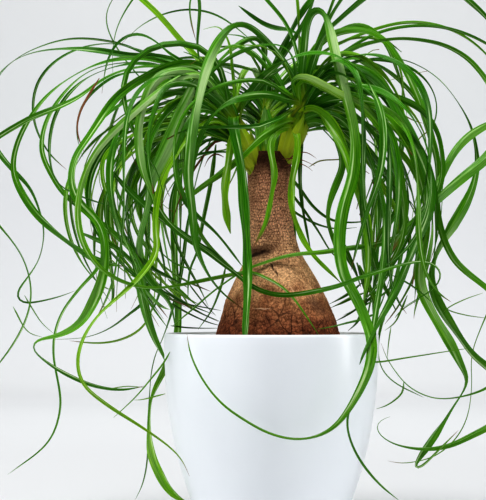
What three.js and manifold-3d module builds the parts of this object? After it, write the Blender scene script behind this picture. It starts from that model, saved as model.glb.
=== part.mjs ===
// Potted ponytail palm: a glossy white pot, soil, a swollen corky stem and three heads of strap leaves.
// Millimetres, +Z up, origin at the middle of the pot's flat foot, front towards -Y.
import * as THREE from "three";
import { mergeVertices } from "three/addons/utils/BufferGeometryUtils.js";
import Module from "manifold-3d";

const wasm = await Module();
wasm.setup();

// Pot: its outline narrows from the rim to the foot by a power of the depth below the rim.
const POT_HEIGHT = 160;
const POT_RIM = 85;
const POT_TAPER = 33.6;
const POT_POWER = 2.3;
const POT_WALL = 4;
const POT_FLOOR = 5;
const POT_LIP = 1.5;
const POT_SIDES = 36;
const POT_LEVELS = 5;

// Soil: a disc that fills the pot below the rim, with a round hole for the stem.
const SOIL_TOP = 146;
const GAP = 0.3;

// Stem: height, radius and middle x at each level.
const TRUNK = [
  [110, 30, 6], [122, 42, 6], [134, 49, 6], [146, 52, 6], [160, 49, 6], [170, 46, 6],
  [186, 40.7, 5], [202, 32.9, 4.4], [214, 26, 3.7], [222, 21.8, 2.8], [226, 20.8, 2],
  [242, 18, 0.5], [266, 17, -1], [293, 18, -1.4], [300, 16.5, -2.5], [304, 12, -3],
];
const TRUNK_SIDES = 20;
const TRUNK_LOBES = 0.02;
const HOLE_RADIUS = 53.6;

// Heads: foot and top of the short stem that the leaves stand out of, and its radius at each.
const HEADS = [
  { name: "leaf_head_left", foot: [-13, -5, 290], top: [-30, -12, 330], radii: [6.5, 8] },
  { name: "leaf_head_right", foot: [12, -3, 300], top: [26, -6, 344], radii: [7, 8.5] },
  { name: "leaf_head_back", foot: [-3, 9, 294], top: [-4, 31, 345], radii: [6.5, 8.5] },
];
const CORE_SIDES = 9;
const ROOT_DEPTH = 0.25;
const ROOT_ASIDE = 1.6;
const GOLDEN_ANGLE = 2.39996;

// Blades: three-sided, flat above with a keel below.
const KEEL_BASE = 0.7;
const KEEL_SHARE = 0.08;
const BASE_FLARE = 0.5;
const TIP_START = 0.45;
const TIP_POWER = 1.6;
const CLEAN = 0.01;
const STEP = 4;
const SEGMENT_LENGTH = 100;
const SEGMENT_BEND = 0.85;
const SEGMENT_TWIST = 1.1;
const LEAST_ADVANCE = 0.4;

// Clearance between blades of different heads, and from a blade to everything else.
const CLEAR = 4;
const CELL = 6;
const TRUNK_CLEAR = 1.6;
const POT_CLEAR = 2;
const CORE_CLEAR = 1.2;
const LOWEST = 10;

// Depths in turn that a leaf is bent by, as a whole, until it is clear.
const SHIFTS = [0, -4, 4, -8, 8, -12, 12, -16, 16, -20, 20, -25, 25, -30, 30];

// Eye from which the leaves below are laid out: x and z are read in the plane of the axis,
// and the third number puts the point at that depth along the line of sight.
const EYE = [-22.5, -1400, 183];

// Leaves one by one: head, place on its stem (0 foot, 1 top), width, width of the tip as a share,
// turns of the face away from the eye in degrees, spread along the leaf, and its points.
const LEAVES = [
  // high arch to the left, out of the frame and back with a folded tip
  [0, 0.9, 4.9, 0.12, [30, 20, 40, 50, 30, 20], [
    [-64, 371, -4], [-88, 380, 4], [-112, 381, 10], [-135, 385, 14], [-160, 387, 16],
    [-190, 384, 16], [-208, 376, 15], [-220, 362, 14], [-227, 340, 12], [-225, 318, 10],
    [-216, 302, 8], [-207, 291, 6], [-192, 275, 4], [-183, 252, 2], [-181, 240, 1], [-185, 218, 0],
    [-193, 205, 0], [-203, 190, 1], [-199, 184, 2], [-185, 185, 4], [-165, 190, 7], [-155, 194, 9],
  ]],
  [2, 0.9, 2, 0.3, [40, 20], [
    [-30, 366, 34], [-62, 374, 34], [-95, 380, 32], [-110, 387, 30], [-126, 392, 28],
    [-150, 395, 26], [-165, 394, 24], [-180, 390, 22], [-200, 381, 20], [-215, 368, 18],
    [-224, 350, 17],
  ]],
  [0, 0.95, 3.2, 0.25, [40, 30, 20], [
    [-68, 375, 8], [-96, 383, 16], [-125, 391, 22], [-150, 388, 25], [-172, 377, 26],
    [-186, 360, 26], [-190, 340, 25], [-187, 322, 24], [-176, 302, 22], [-163, 290, 20],
  ]],
  [0, 0.85, 4.1, 0.5, [40, 30, 10, 30], [
    [-70, 369, -20], [-100, 379, -24], [-125, 378, -28], [-140, 374, -30], [-160, 364, -33],
    [-180, 348, -36], [-196, 325, -38], [-204, 305, -40], [-205, 287, -42], [-190, 258, -46],
    [-172, 240, -50], [-150, 224, -54], [-137, 217, -56], [-118, 213, -58],
  ]],
  [0, 0.8, 4.1, 0.15, [60, 50, 45, 20, 0, 20], [
    [-75, 368, -2], [-110, 376, 4], [-135, 373, 8], [-150, 366, 10], [-168, 348, 12],
    [-180, 327, 13], [-183, 305, 12], [-176, 288, 10], [-166, 272, 6], [-150, 258, 0],
    [-140, 249, -6], [-132, 234, -14], [-137, 213, -22], [-152, 196, -28], [-166, 177, -34],
    [-172, 160, -38], [-173, 142, -42], [-168, 115, -46], [-167, 103, -48], [-172, 82, -50],
    [-180, 70, -52], [-209, 48, -54],
  ]],
  [0, 0.75, 3.3, 0.25, [50, 40, 20, 30], [
    [-70, 364, -10], [-100, 375, -8], [-130, 371, -8], [-152, 360, -8], [-169, 340, -10],
    [-176, 318, -12], [-176, 295, -16], [-170, 279, -20], [-155, 270, -24], [-125, 260, -28],
  ]],
  [0, 0.9, 4.4, 0.15, [40, 20, 10, 30, 40], [
    [-68, 367, -24], [-95, 373, -30], [-120, 369, -34], [-138, 360, -36], [-152, 349, -38],
    [-170, 340, -40], [-188, 333, -42], [-203, 325, -44], [-216, 317, -44], [-232, 304, -44],
    [-239, 285, -42], [-232, 264, -40], [-216, 245, -38], [-199, 222, -36], [-192, 203, -34],
    [-191, 187, -32], [-196, 168, -30], [-207, 148, -28], [-216, 136, -26], [-226, 122, -24],
  ]],
  [0, 0.7, 3.1, 0.2, [30, 20, 30], [
    [-50, 348, -20], [-76, 362, -28], [-100, 368, -34], [-122, 366, -38], [-139, 355, -40],
    [-150, 342, -42], [-155, 325, -43], [-154, 312, -43], [-150, 300, -42],
  ]],
  // broad arch, then inward, outward and a sharp fold
  [0, 1, 6.6, 0.1, [20, 10, 0, 10, 30, 20], [
    [-52, 371, -30], [-66, 375, -34], [-80, 373, -38], [-96, 366, -42], [-112, 357, -45],
    [-124, 347, -47], [-132, 337, -49], [-140, 325, -51], [-148, 313, -53], [-155, 303, -54],
    [-159, 290, -55], [-159, 276, -56], [-151, 261, -57], [-139, 250, -58], [-133, 236, -59],
    [-132, 220, -60], [-134, 204, -60], [-142, 184, -61], [-153, 167, -62], [-170, 158, -62],
    [-188, 154, -62], [-191, 149, -62], [-180, 138, -62], [-160, 126, -61], [-140, 118, -60],
    [-118, 115, -58], [-101, 118, -56],
  ]],
  // long light leaf that swings back in front of the trunk
  [0, 1, 4.8, 0.12, [10, 0, 10, 20, 10, 30], [
    [-56, 365, -34], [-73, 363, -42], [-92, 350, -48], [-115, 330, -54], [-135, 310, -58],
    [-147, 290, -62], [-154, 262, -66], [-150, 233, -69], [-135, 211, -70], [-113, 199, -66],
    [-95, 196, -60], [-80, 197, -52], [-64, 200, -44], [-49, 203, -36], [-34, 206, -31],
    [-22, 208, -31], [-13, 208, -33], [-5, 204, -37], [7, 198, -42], [19, 186, -47], [28, 173, -50],
    [38, 158, -53],
  ]],
  [0, 0.9, 7.4, 0.2, [20, 0, 0, 20], [
    [-57, 366, -30], [-73, 369, -36], [-88, 365, -41], [-97, 355, -44], [-103, 338, -48],
    [-106, 321, -51], [-105, 305, -53], [-102, 289, -55], [-96, 274, -56], [-92, 262, -57],
    [-94, 253, -57],
  ]],
  [0, 0.85, 9.2, 0.15, [10, 0, 10, 30, 60, 60], [
    [-52, 362, -27], [-60, 361, -32], [-66, 349, -36], [-72, 336, -39], [-78, 321, -42],
    [-84, 306, -44], [-90, 293, -45], [-95, 281, -45], [-97, 268, -44], [-99, 256, -42],
    [-103, 242, -38], [-105, 226, -30], [-104, 209, -20], [-103, 194, -10], [-99, 175, 4],
    [-93, 157, 18], [-86, 143, 32], [-80, 130, 46],
  ]],
  // bright leaf low on the left that passes before the pot's left edge
  [0, 0.5, 4.9, 0.12, [20, 30, 10, 20, 50, 50], [
    [-42, 330, -22], [-60, 322, -34], [-76, 303, -44], [-88, 278, -52], [-92, 255, -58],
    [-92, 240, -61], [-91, 226, -63], [-102, 208, -65], [-118, 192, -67], [-137, 175, -68],
    [-150, 155, -69], [-154, 135, -70], [-149, 119, -71], [-130, 103, -71], [-105, 87, -70],
    [-82, 71, -68], [-71, 60, -66], [-65, 47, -64],
  ]],
  [2, 0.7, 4.1, 0.2, [30, 20, 50, 30], [
    [-26, 358, 36], [-52, 358, 44], [-76, 338, 50], [-90, 306, 54], [-97, 270, 56], [-98, 240, 55],
    [-96, 212, 52], [-100, 186, 48], [-112, 176, 46], [-128, 164, 44], [-146, 157, 42],
    [-172, 155, 42],
  ]],
  [2, 0.6, 3.7, 0.25, [30, 20, 40], [
    [-26, 350, 40], [-50, 346, 52], [-70, 322, 62], [-84, 285, 68], [-90, 245, 70], [-92, 205, 68],
    [-94, 182, 64], [-99, 169, 60], [-108, 160, 56], [-122, 154, 54], [-138, 152, 52],
    [-160, 154, 50],
  ]],
  // from the right head up, over the left head and down in front
  [1, 1, 9, 0.2, [20, 10, 0, 0, 20, 40], [
    [20, 360, -12], [8, 379, -19], [-5, 394, -26], [-16, 404, -32], [-25, 407, -37],
    [-33, 404, -41], [-40, 396, -44], [-47, 383, -47], [-53, 366, -50], [-57, 349, -52],
    [-62, 325, -54], [-65, 303, -55], [-66, 286, -55], [-64, 267, -54], [-62, 249, -52],
    [-60, 231, -50], [-54, 214, -47], [-45, 199, -44], [-33, 187, -42], [-22, 179, -42],
  ]],
  // straight leaf that hangs before the trunk and ends inside the rim
  [0, 0.95, 8.4, 0.7, [0, 0, 0, 10], [
    [-30, 334, -24], [-30, 326, -32], [-28, 312, -37], [-24, 290, -38], [-22, 266, -38],
    [-20, 242, -39], [-19, 218, -43], [-19, 194, -49], [-20, 178, -54], [-21, 160, -60],
    [-21, 151, -62],
  ]],
  [0, 0.5, 7, 0.85, [0, 0], [
    [-29, 319, -22], [-33, 305, -27], [-35, 290, -29], [-37, 274, -29], [-36, 258, -28],
    [-34, 244, -27], [-32.5, 239, -27],
  ]],
  [1, 0.5, 5.6, 0.25, [10, 10, 30], [
    [12, 324, -16], [4, 319, -23], [-1, 310, -27], [1, 297, -28], [3, 285, -27], [1, 274, -26],
    [-1, 262, -26], [-5, 246, -27], [-11, 234, -29], [-16, 225, -31],
  ]],
  [1, 0.95, 5.8, 0.3, [30, 20, 20], [
    [14, 345, -18], [-1, 350, -27], [-17, 349, -34], [-33, 344, -38], [-45, 335, -41],
    [-53, 324, -43], [-58, 312, -44], [-62, 297, -44], [-64, 280, -42], [-62, 264, -40],
  ]],
  [1, 0.6, 6.6, 0.3, [20, 10, 10], [
    [14, 330, -18], [2, 323, -24], [-7, 316, -26], [-15, 308, -26], [-23, 300, -25],
    [-31, 294, -24], [-41, 286, -26], [-53, 278, -30], [-64, 269, -34], [-74, 258, -36],
  ]],
  [0, 0.7, 5.4, 0.4, [10, 10, 20], [
    [-57, 338, -27], [-70, 322, -32], [-76, 300, -34], [-75, 282, -34], [-69, 266, -33],
    [-60, 254, -31], [-48, 244, -29], [-38, 233, -28], [-29, 221, -28], [-23, 213, -29],
  ]],
  // down the left, across the trunk and out to a hooked tip on the right
  [0, 0.85, 4.8, 0.08, [20, 10, 0, 10, 20, 30], [
    [-68, 346, -34], [-86, 332, -42], [-97, 312, -48], [-99, 290, -51], [-95, 271, -51],
    [-87, 254, -50], [-74, 240, -47], [-61, 231, -43], [-50, 224, -39], [-39, 215, -36],
    [-29, 208, -36], [-20, 200, -39], [-7, 193, -47], [7, 190, -53], [22, 191, -60], [39, 194, -68],
    [55, 198, -76], [70, 204, -79], [86, 209, -78], [102, 214, -75], [118, 217, -70],
    [129, 215, -66], [135, 209, -63], [134, 201, -60], [126, 193, -58], [114, 186, -56],
    [102, 179, -54],
  ]],
  [0, 0.6, 4.5, 0.25, [20, 20, 30], [
    [-46, 330, -8], [-60, 334, -6], [-77, 334, -4], [-96, 331, -2], [-112, 327, 0], [-128, 318, 2],
    [-137, 308, 3], [-142, 293, 4], [-144, 274, 4], [-140, 256, 3],
  ]],
  [0, 0.45, 4.5, 0.25, [20, 20, 30], [
    [-42, 322, -6], [-58, 325, -4], [-76, 325, -4], [-96, 321, -6], [-112, 317, -8],
    [-124, 311, -10], [-132, 303, -12], [-135, 293, -13], [-134, 281, -14], [-130, 268, -15],
    [-120, 252, -16], [-112, 232, -16],
  ]],
  [0, 0.4, 3.9, 0.25, [20, 30, 20], [
    [-44, 318, -14], [-64, 325, -20], [-88, 324, -24], [-104, 316, -27], [-116, 305, -29],
    [-126, 286, -31], [-132, 266, -32], [-131, 246, -33], [-122, 228, -33],
  ]],
  // up and to the left above the frame
  [0, 1, 4.5, 0.2, [40, 20, 30], [
    [-52, 371, -8], [-64, 385, -6], [-72, 393, -4], [-82, 405, -2], [-92, 416, 0], [-104, 427, 2],
    [-124, 443, 5], [-148, 452, 8], [-175, 449, 10], [-205, 436, 12], [-228, 414, 13],
    [-240, 384, 13], [-243, 350, 12],
  ]],
  [0, 0.95, 2.6, 0.25, [30, 10, 40], [
    [-54, 370, -22], [-59, 385, -24], [-58, 405, -25], [-57, 424, -26], [-63, 442, -28],
    [-78, 452, -29], [-95, 446, -30], [-110, 427, -30], [-122, 406, -30], [-126, 388, -30],
    [-126, 362, -30],
  ]],
  [2, 0.8, 1.6, 0.3, [30, 30], [
    [-28, 354, 40], [-60, 348, 44], [-86, 346, 46], [-103, 362, 48], [-121, 384, 50],
    [-130, 401, 50], [-132, 413, 50], [-127, 426, 50], [-117, 437, 50],
  ]],
  [2, 1, 1.8, 0.3, [30, 20, 30], [
    [0, 368, 30], [-8, 385, 28], [-20, 397, 26], [-31, 406, 24], [-42, 413, 22], [-54, 417, 20],
    [-69, 418, 18], [-84, 415, 16], [-96, 410, 14], [-108, 402, 12], [-121, 389, 10],
  ]],
  [0, 0.9, 3, 0.25, [30, 20, 20], [
    [-60, 369, -30], [-80, 382, -36], [-90, 391, -40], [-99, 397, -43], [-108, 399, -45],
    [-117, 396, -47], [-124, 390, -48], [-131, 376, -49], [-135, 351, -50],
  ]],
  // short dark one with a blunt tip, top middle
  [1, 0.9, 4.5, 0.7, [40, 20, 0], [
    [25, 362, 2], [26, 380, 6], [24, 396, 9], [16, 402, 11], [3, 403, 13], [-7, 407, 14],
    [-17, 414, 15], [-26, 421, 15],
  ]],
  [1, 0.95, 3, 0.3, [20, 20, 20], [
    [24, 364, -2], [21, 381, 0], [17, 395, 2], [11, 408, 4], [-2, 424, 6], [-19, 441, 8],
    [-42, 449, 8], [-58, 441, 8], [-65, 425, 7], [-64, 408, 6], [-60, 393, 5],
  ]],
  [1, 1, 3.6, 0.25, [40, 30, 20], [
    [20, 362, -16], [18, 378, -22], [11, 388, -26], [-4, 390, -29], [-20, 386, -32],
    [-36, 378, -35], [-48, 367, -38], [-57, 352, -41], [-61, 335, -43],
  ]],
  [2, 1, 4.9, 0.3, [30, 10, 10], [
    [-8, 364, 26], [-5, 380, 19], [-6, 391, 12], [-12, 396, 6], [-25, 391, 0], [-38, 380, -3],
    [-48, 369, -4], [-57, 352, -2], [-63, 335, 0],
  ]],
  [1, 1, 3.4, 0.3, [20, 20], [
    [24, 365, 2], [23, 385, 4], [22, 405, 5], [21, 425, 5], [17, 441, 4], [9, 452, 2],
  ]],
  [2, 0.95, 5.7, 0.25, [10, 20], [
    [-2, 362, 26], [4, 376, 22], [11, 390, 19], [20, 408, 16], [31, 425, 14], [46, 441, 12],
    [64, 449, 10], [82, 450, 8],
  ]],
  [1, 0.9, 5.3, 0.25, [20, 20], [
    [31, 364, -4], [37, 384, -4], [44, 406, -4], [55, 425, -4], [68, 441, -4], [86, 452, -4],
  ]],
  [1, 0.95, 5.7, 0.2, [10, 20, 30, 30], [
    [30, 366, -8], [36, 386, -10], [43, 400, -11], [53, 409, -12], [63, 418, -13], [75, 428, -14],
    [95, 443, -15], [118, 449, -16], [140, 440, -16], [158, 425, -16], [171, 413, -15],
    [186, 392, -14], [195, 365, -13], [196, 336, -12],
  ]],
  // the longest: an arch at the front, down past the rim and up across the pot
  [1, 1, 9.6, 0.12, [20, 0, 0, 0, 60, 0, 10, 20], [
    [24, 361, -14], [26, 385, -20], [28, 405, -25], [32, 416, -29], [38, 419, -33], [43, 414, -37],
    [47, 401, -41], [51, 384, -45], [56, 364, -50], [61, 345, -54], [65, 329, -57], [67, 313, -60],
    [67, 300, -61], [64, 280, -63], [58, 262, -65], [55, 246, -66], [54, 230, -68], [55, 218, -70],
    [58, 206, -73], [64, 194, -77], [70, 183, -81], [75, 170, -86], [79, 158, -91], [80, 146, -95],
    [77, 131, -99], [70, 115, -102], [62, 101, -103], [54, 90, -104], [46, 83, -105],
    [35, 78, -106], [23, 76, -106], [11, 77, -106], [-5, 82, -106], [-21, 91, -105],
    [-37, 102, -104], [-49, 115, -102], [-59, 131, -100], [-65, 146, -98], [-67, 159, -96],
  ]],
  [1, 0.8, 7.4, 0.2, [0, 0, 10, 10, 30], [
    [18, 352, -18], [16, 361, -25], [24, 365, -31], [39, 359, -37], [55, 350, -43], [70, 342, -48],
    [79, 334, -51], [86, 325, -53], [93, 313, -55], [98, 301, -56], [102, 289, -56],
    [105, 274, -55], [107, 258, -54], [106, 242, -52], [102, 228, -50], [95, 216, -48],
    [86, 205, -46],
  ]],
  [1, 0.85, 8.5, 0.45, [20, 10, 0, 0, 10, 20], [
    [34, 358, -8], [46, 367, -10], [58, 370, -14], [70, 368, -18], [82, 361, -23], [94, 348, -29],
    [102, 334, -34], [110, 320, -39], [118, 304, -44], [124, 289, -49], [127, 276, -53],
    [127, 265, -56], [124, 252, -60], [118, 238, -64], [112, 225, -68], [106, 211, -72],
    [101, 198, -76], [95, 186, -79], [88, 173, -83], [81, 161, -87], [76, 149, -90], [72, 141, -92],
    [70, 135, -93],
  ]],
  [1, 0.95, 5.7, 0.1, [20, 10, 0, 10, 20, 30, 50], [
    [27, 366, 0], [34, 386, 2], [46, 397, 2], [58, 401, 2], [70, 402, 2], [82, 399, 1],
    [91, 393, 0], [98, 384, 0], [103, 376, -1], [109, 365, -2], [115, 352, -3], [121, 337, -4],
    [125, 324, -5], [129, 311, -6], [132, 300, -6], [133, 288, -6], [133, 275, -6], [132, 262, -6],
    [134, 246, -6], [139, 230, -6], [147, 216, -6], [158, 206, -6], [172, 195, -6], [188, 178, -6],
    [197, 157, -6], [192, 135, -7], [172, 117, -10], [157, 111, -12], [142, 108, -14],
    [130, 108, -15], [118, 112, -16], [107, 119, -17], [98, 130, -18], [92, 139, -18],
    [87, 152, -18],
  ]],
  [1, 0.85, 5.2, 0.15, [30, 20, 30, 10, 10], [
    [34, 360, -12], [44, 373, -14], [55, 381, -14], [70, 389, -14], [86, 393, -13], [102, 395, -12],
    [118, 394, -11], [134, 391, -10], [146, 386, -9], [158, 378, -8], [166, 369, -8],
    [174, 358, -8], [183, 340, -9], [184, 320, -11], [172, 300, -14], [158, 288, -18],
    [146, 278, -22], [134, 267, -26], [122, 256, -30], [111, 246, -34], [101, 234, -38],
    [94, 222, -42],
  ]],
  [1, 0.7, 5.7, 0.25, [60, 60, 20, 10, 20], [
    [36, 346, -8], [50, 351, -8], [64, 352, -8], [78, 352, -9], [92, 350, -10], [104, 346, -11],
    [114, 342, -12], [122, 336, -13], [129, 327, -14], [134, 316, -15], [136, 304, -16],
    [137, 289, -18], [134, 275, -20], [128, 262, -23], [123, 247, -26], [118, 230, -30],
    [114, 212, -34], [112, 196, -37],
  ]],
  [1, 0.75, 2.5, 0.35, [30, 30], [
    [36, 360, 4], [58, 374, 8], [78, 378, 10], [98, 376, 11], [112, 371, 12], [124, 361, 12],
    [131, 348, 12], [132, 336, 12], [129, 325, 12], [117, 314, 12],
  ]],
  // edge-on arch on the right that turns its face, leaves the frame low and hooks back
  [1, 0.8, 6.8, 0.08, [75, 80, 60, 20, 10, 30, 50, 20], [
    [38, 360, 8], [58, 372, 14], [80, 379, 18], [102, 379, 20], [115, 375, 20], [130, 366, 19],
    [142, 354, 18], [152, 339, 16], [159, 325, 14], [163, 309, 12], [164, 293, 10], [161, 278, 8],
    [155, 264, 6], [147, 250, 4], [139, 237, 2], [132, 225, 0], [128, 213, -2], [127, 202, -3],
    [130, 190, -4], [136, 178, -5], [144, 166, -6], [152, 154, -8], [160, 143, -10],
    [172, 133, -13], [187, 121, -17], [192, 105, -21], [184, 93, -24], [171, 85, -27],
    [157, 78, -29], [142, 71, -31], [126, 68, -32], [110, 69, -33], [95, 73, -34], [85, 80, -35],
    [82, 86, -36], [85, 91, -37], [94, 94, -38],
  ]],
  // off the right of the frame, back down to the left and across the trunk
  [1, 0.9, 5.7, 0.2, [40, 30, 40, 10, 10, 20, 10, 10], [
    [36, 364, 6], [58, 384, 12], [90, 401, 16], [128, 405, 18], [162, 396, 18], [190, 376, 17],
    [199, 352, 15], [190, 334, 11], [171, 325, 5], [158, 317, 0], [148, 307, -5], [141, 296, -10],
    [136, 285, -14], [130, 274, -18], [124, 263, -22], [116, 252, -26], [105, 240, -30],
    [91, 232, -33], [75, 229, -35], [58, 227, -36], [39, 224, -36], [23, 223, -34], [7, 220, -32],
    [-5, 216, -31], [-17, 212, -31], [-28, 206, -31], [-38, 199, -30], [-50, 190, -30],
    [-61, 180, -29], [-71, 172, -28], [-79, 165, -27],
  ]],
  [1, 0.6, 6.2, 0.2, [30, 20, 10, 20, 10, 50, 10, 30], [
    [38, 344, -14], [60, 350, -20], [84, 341, -25], [104, 320, -29], [117, 291, -31],
    [124, 264, -31], [124, 240, -30], [119, 218, -29], [118, 200, -28], [123, 185, -28],
    [131, 170, -28], [143, 150, -28], [151, 134, -28], [156, 123, -28], [152, 113, -28],
    [146, 104, -28], [138, 91, -29], [130, 79, -29], [122, 68, -30], [115, 58, -30], [112, 53, -31],
    [116, 52, -32], [126, 61, -33], [138, 73, -34], [148, 83, -35],
  ]],
  [2, 0.9, 2.6, 0.2, [30, 40, 40], [
    [24, 372, 36], [66, 396, 40], [112, 408, 42], [152, 398, 42], [184, 366, 40], [197, 318, 38],
    [197, 262, 34], [186, 208, 30], [168, 168, 27], [159, 142, 25], [159, 119, 23], [156, 96, 20],
    [150, 82, 18], [142, 72, 16], [130, 63, 14], [118, 59, 12], [102, 57, 10], [92, 59, 8],
  ]],
  [2, 0.6, 4.1, 0.25, [30, 30, 20, 40], [
    [20, 354, 44], [48, 356, 54], [76, 336, 62], [94, 304, 66], [102, 266, 66], [104, 230, 62],
    [98, 200, 56], [90, 176, 48], [85, 155, 40], [86, 136, 34], [91, 127, 28], [99, 120, 22],
    [121, 109, 14],
  ]],
  [1, 0.5, 4.9, 0.2, [20, 20, 10, 40, 20, 10], [
    [32, 334, -18], [50, 334, -28], [68, 318, -38], [82, 290, -48], [90, 258, -58], [90, 226, -68],
    [86, 196, -76], [82, 170, -84], [80, 150, -90], [76, 130, -95], [68, 113, -97], [61, 98, -97],
    [60, 86, -97], [62, 77, -96], [68, 63, -95], [77, 50, -94], [88, 38, -93], [102, 27, -92],
  ]],
  [1, 0.7, 9.6, 0.25, [0, 0, 0, 10], [
    [32, 339, -18], [40, 336, -25], [48, 326, -31], [55, 313, -36], [62, 296, -41], [69, 277, -45],
    [74, 258, -48], [77, 238, -50], [77, 218, -52], [76, 202, -54], [73, 184, -56],
  ]],
  [1, 0.4, 6.6, 0.4, [10, 10, 20], [
    [34, 330, -12], [46, 325, -16], [55, 309, -19], [57, 293, -20], [51, 277, -20], [46, 262, -20],
    [45, 248, -19], [49, 236, -18], [52, 222, -17],
  ]],
  [1, 0.3, 5.8, 0.3, [10, 10, 10], [
    [20, 322, -14], [21, 311, -19], [20, 297, -21], [17, 284, -21], [16, 272, -21], [16, 260, -22],
    [20, 246, -23], [27, 231, -25], [35, 220, -28], [45, 210, -32], [57, 198, -36],
  ]],
  [1, 0.65, 4.9, 0.25, [10, 20, 20], [
    [38, 342, -14], [52, 342, -20], [66, 334, -25], [78, 323, -29], [86, 312, -31], [88, 301, -32],
    [86, 288, -33], [86, 272, -33], [87, 257, -33], [86, 242, -34], [82, 226, -35],
  ]],
  [1, 0.2, 3.5, 0.3, [10, 10], [
    [24, 316, 6], [23, 300, 10], [23, 279, 11], [25, 258, 11], [28.5, 240, 11], [32, 222, 11],
  ]],
  [1, 0.85, 4.1, 0.3, [30, 20, 20], [
    [34, 364, -12], [44, 378, -16], [55, 383, -19], [67, 382, -21], [79, 376, -23], [90, 366, -25],
    [98, 355, -27], [103, 344, -28], [106, 332, -29], [108, 318, -30],
  ]],
  [1, 0.8, 4.1, 0.3, [30, 20, 20], [
    [38, 361, -2], [50, 370, 0], [61, 373, 1], [72, 372, 1], [83, 366, 0], [92, 356, -1],
    [100, 344, -3], [106, 331, -5], [111, 315, -7], [114, 298, -9], [113, 282, -11],
  ]],
  [2, 0.9, 4.1, 0.3, [30, 20, 20], [
    [18, 370, 28], [38, 390, 25], [56, 402, 23], [70, 406, 22], [81, 402, 21], [91, 391, 20],
    [98, 376, 20], [103, 361, 20], [107, 346, 20], [108, 332, 20],
  ]],
  [1, 0.9, 2.4, 0.4, [30, 20], [
    [30, 372, 12], [50, 390, 16], [76, 396, 18], [92, 391, 18], [101, 376, 18], [105, 358, 18],
    [104, 343, 18], [101, 329, 18], [94, 316, 18],
  ]],
  // low on the left, from behind the pot
  [2, 0.5, 6.6, 0.15, [30, 20, 40, 70, 10, 10, 0], [
    [-24, 348, 50], [-46, 340, 64], [-66, 312, 80], [-76, 270, 92], [-77, 220, 96], [-74, 178, 92],
    [-76, 150, 76], [-83, 134, 56], [-91, 119, 38], [-96, 106, 26], [-97, 91, 18], [-97, 76, 12],
    [-95, 63, 8], [-90, 51, 4], [-83, 38, 0], [-75, 30, -3], [-64, 25, -5],
  ]],
  [2, 0.4, 3.4, 0.2, [30, 40, 60, 30], [
    [-20, 340, 56], [-38, 330, 72], [-56, 296, 90], [-66, 250, 102], [-72, 206, 104],
    [-80, 174, 94], [-87, 155, 78], [-92, 144, 66], [-96, 126, 52], [-97, 106, 42], [-98, 84, 34],
    [-98, 62, 28], [-102, 40, 24], [-108, 28, 22],
  ]],
  // inner leaves on the right, curving in towards the rim
  [1, 0.5, 4.9, 0.25, [30, 10, 30], [
    [52, 335, -10], [69, 318, -9], [79, 298, -8], [86, 279, -8], [95, 266, -8], [101, 251, -8],
    [102, 236, -7], [98, 223, -6], [90, 212, -5],
  ]],
  [2, 0.8, 4.5, 0.25, [30, 20, 10, 20], [
    [26, 362, 36], [60, 367, 38], [88, 349, 38], [102, 324, 37], [104, 306, 36], [98, 293, 34],
    [89, 282, 32], [83, 267, 30], [79, 248, 28], [79, 230, 26], [84, 212, 24], [91, 197, 22],
    [98, 184, 20],
  ]],
  [2, 0.7, 3.7, 0.25, [30, 40, 20], [
    [28, 352, 46], [56, 349, 48], [80, 331, 49], [96, 310, 49], [106, 298, 48], [115, 286, 46],
    [121, 272, 44], [122, 256, 42], [116, 239, 40], [105, 224, 38], [93, 213, 36],
  ]],
  [1, 0.4, 5.3, 0.25, [20, 20, 10], [
    [40, 331, 4], [64, 320, 8], [84, 298, 10], [97, 278, 10], [101, 263, 9], [96, 250, 8],
    [88, 239, 8], [83, 225, 8], [80, 208, 8], [76, 190, 8], [70, 176, 8],
  ]],
  [2, 0.5, 4.9, 0.25, [30, 10, 20], [
    [24, 340, 54], [52, 331, 60], [74, 311, 62], [87, 293, 62], [96, 280, 60], [102, 265, 58],
    [104, 247, 55], [101, 228, 52], [94, 208, 48], [82, 191, 44], [66, 179, 40],
  ]],
  [2, 0.6, 3, 0.3, [20, 40], [
    [26, 347, 60], [58, 341, 68], [80, 316, 72], [90, 290, 74], [94, 262, 74], [93, 240, 73],
    [91, 220, 72], [87, 203, 70],
  ]],
  [1, 0.5, 4.9, 0.25, [20, 20, 10], [
    [44, 340, 8], [80, 324, 14], [109, 297, 18], [122, 264, 18], [121, 232, 16], [114, 206, 14],
    [106, 190, 12], [98, 177, 10], [90, 167, 8],
  ]],
  [2, 0.4, 3.9, 0.25, [30, 20, 10], [
    [24, 332, 66], [60, 318, 78], [92, 286, 84], [109, 248, 82], [107, 215, 74], [94, 195, 64],
    [76, 183, 52], [57, 174, 40],
  ]],
  // inner leaves on the left, curving in the same way
  [0, 0.5, 4.9, 0.25, [20, 10, 20], [
    [-60, 346, 6], [-96, 339, 12], [-128, 313, 15], [-145, 279, 15], [-141, 245, 12],
    [-122, 218, 8], [-101, 200, 5], [-82, 188, 3], [-63, 180, 2],
  ]],
  [2, 0.7, 4.5, 0.25, [30, 20, 10], [
    [-36, 354, 40], [-78, 351, 44], [-116, 331, 46], [-140, 302, 46], [-148, 274, 44],
    [-138, 246, 42], [-120, 222, 38], [-105, 203, 34], [-93, 186, 30], [-82, 172, 28],
  ]],
  [2, 0.5, 4.5, 0.25, [20, 20, 10], [
    [-30, 345, 54], [-66, 340, 60], [-100, 320, 62], [-121, 291, 62], [-127, 261, 60],
    [-115, 233, 56], [-96, 209, 50], [-76, 193, 44], [-56, 182, 38],
  ]],
  [0, 0.3, 4.1, 0.25, [20, 10, 20], [
    [-44, 323, 6], [-70, 314, 12], [-92, 291, 15], [-104, 262, 16], [-99, 235, 15], [-86, 212, 13],
    [-72, 193, 10], [-63, 177, 8],
  ]],
  [2, 0.3, 4.1, 0.25, [20, 10, 20], [
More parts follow.
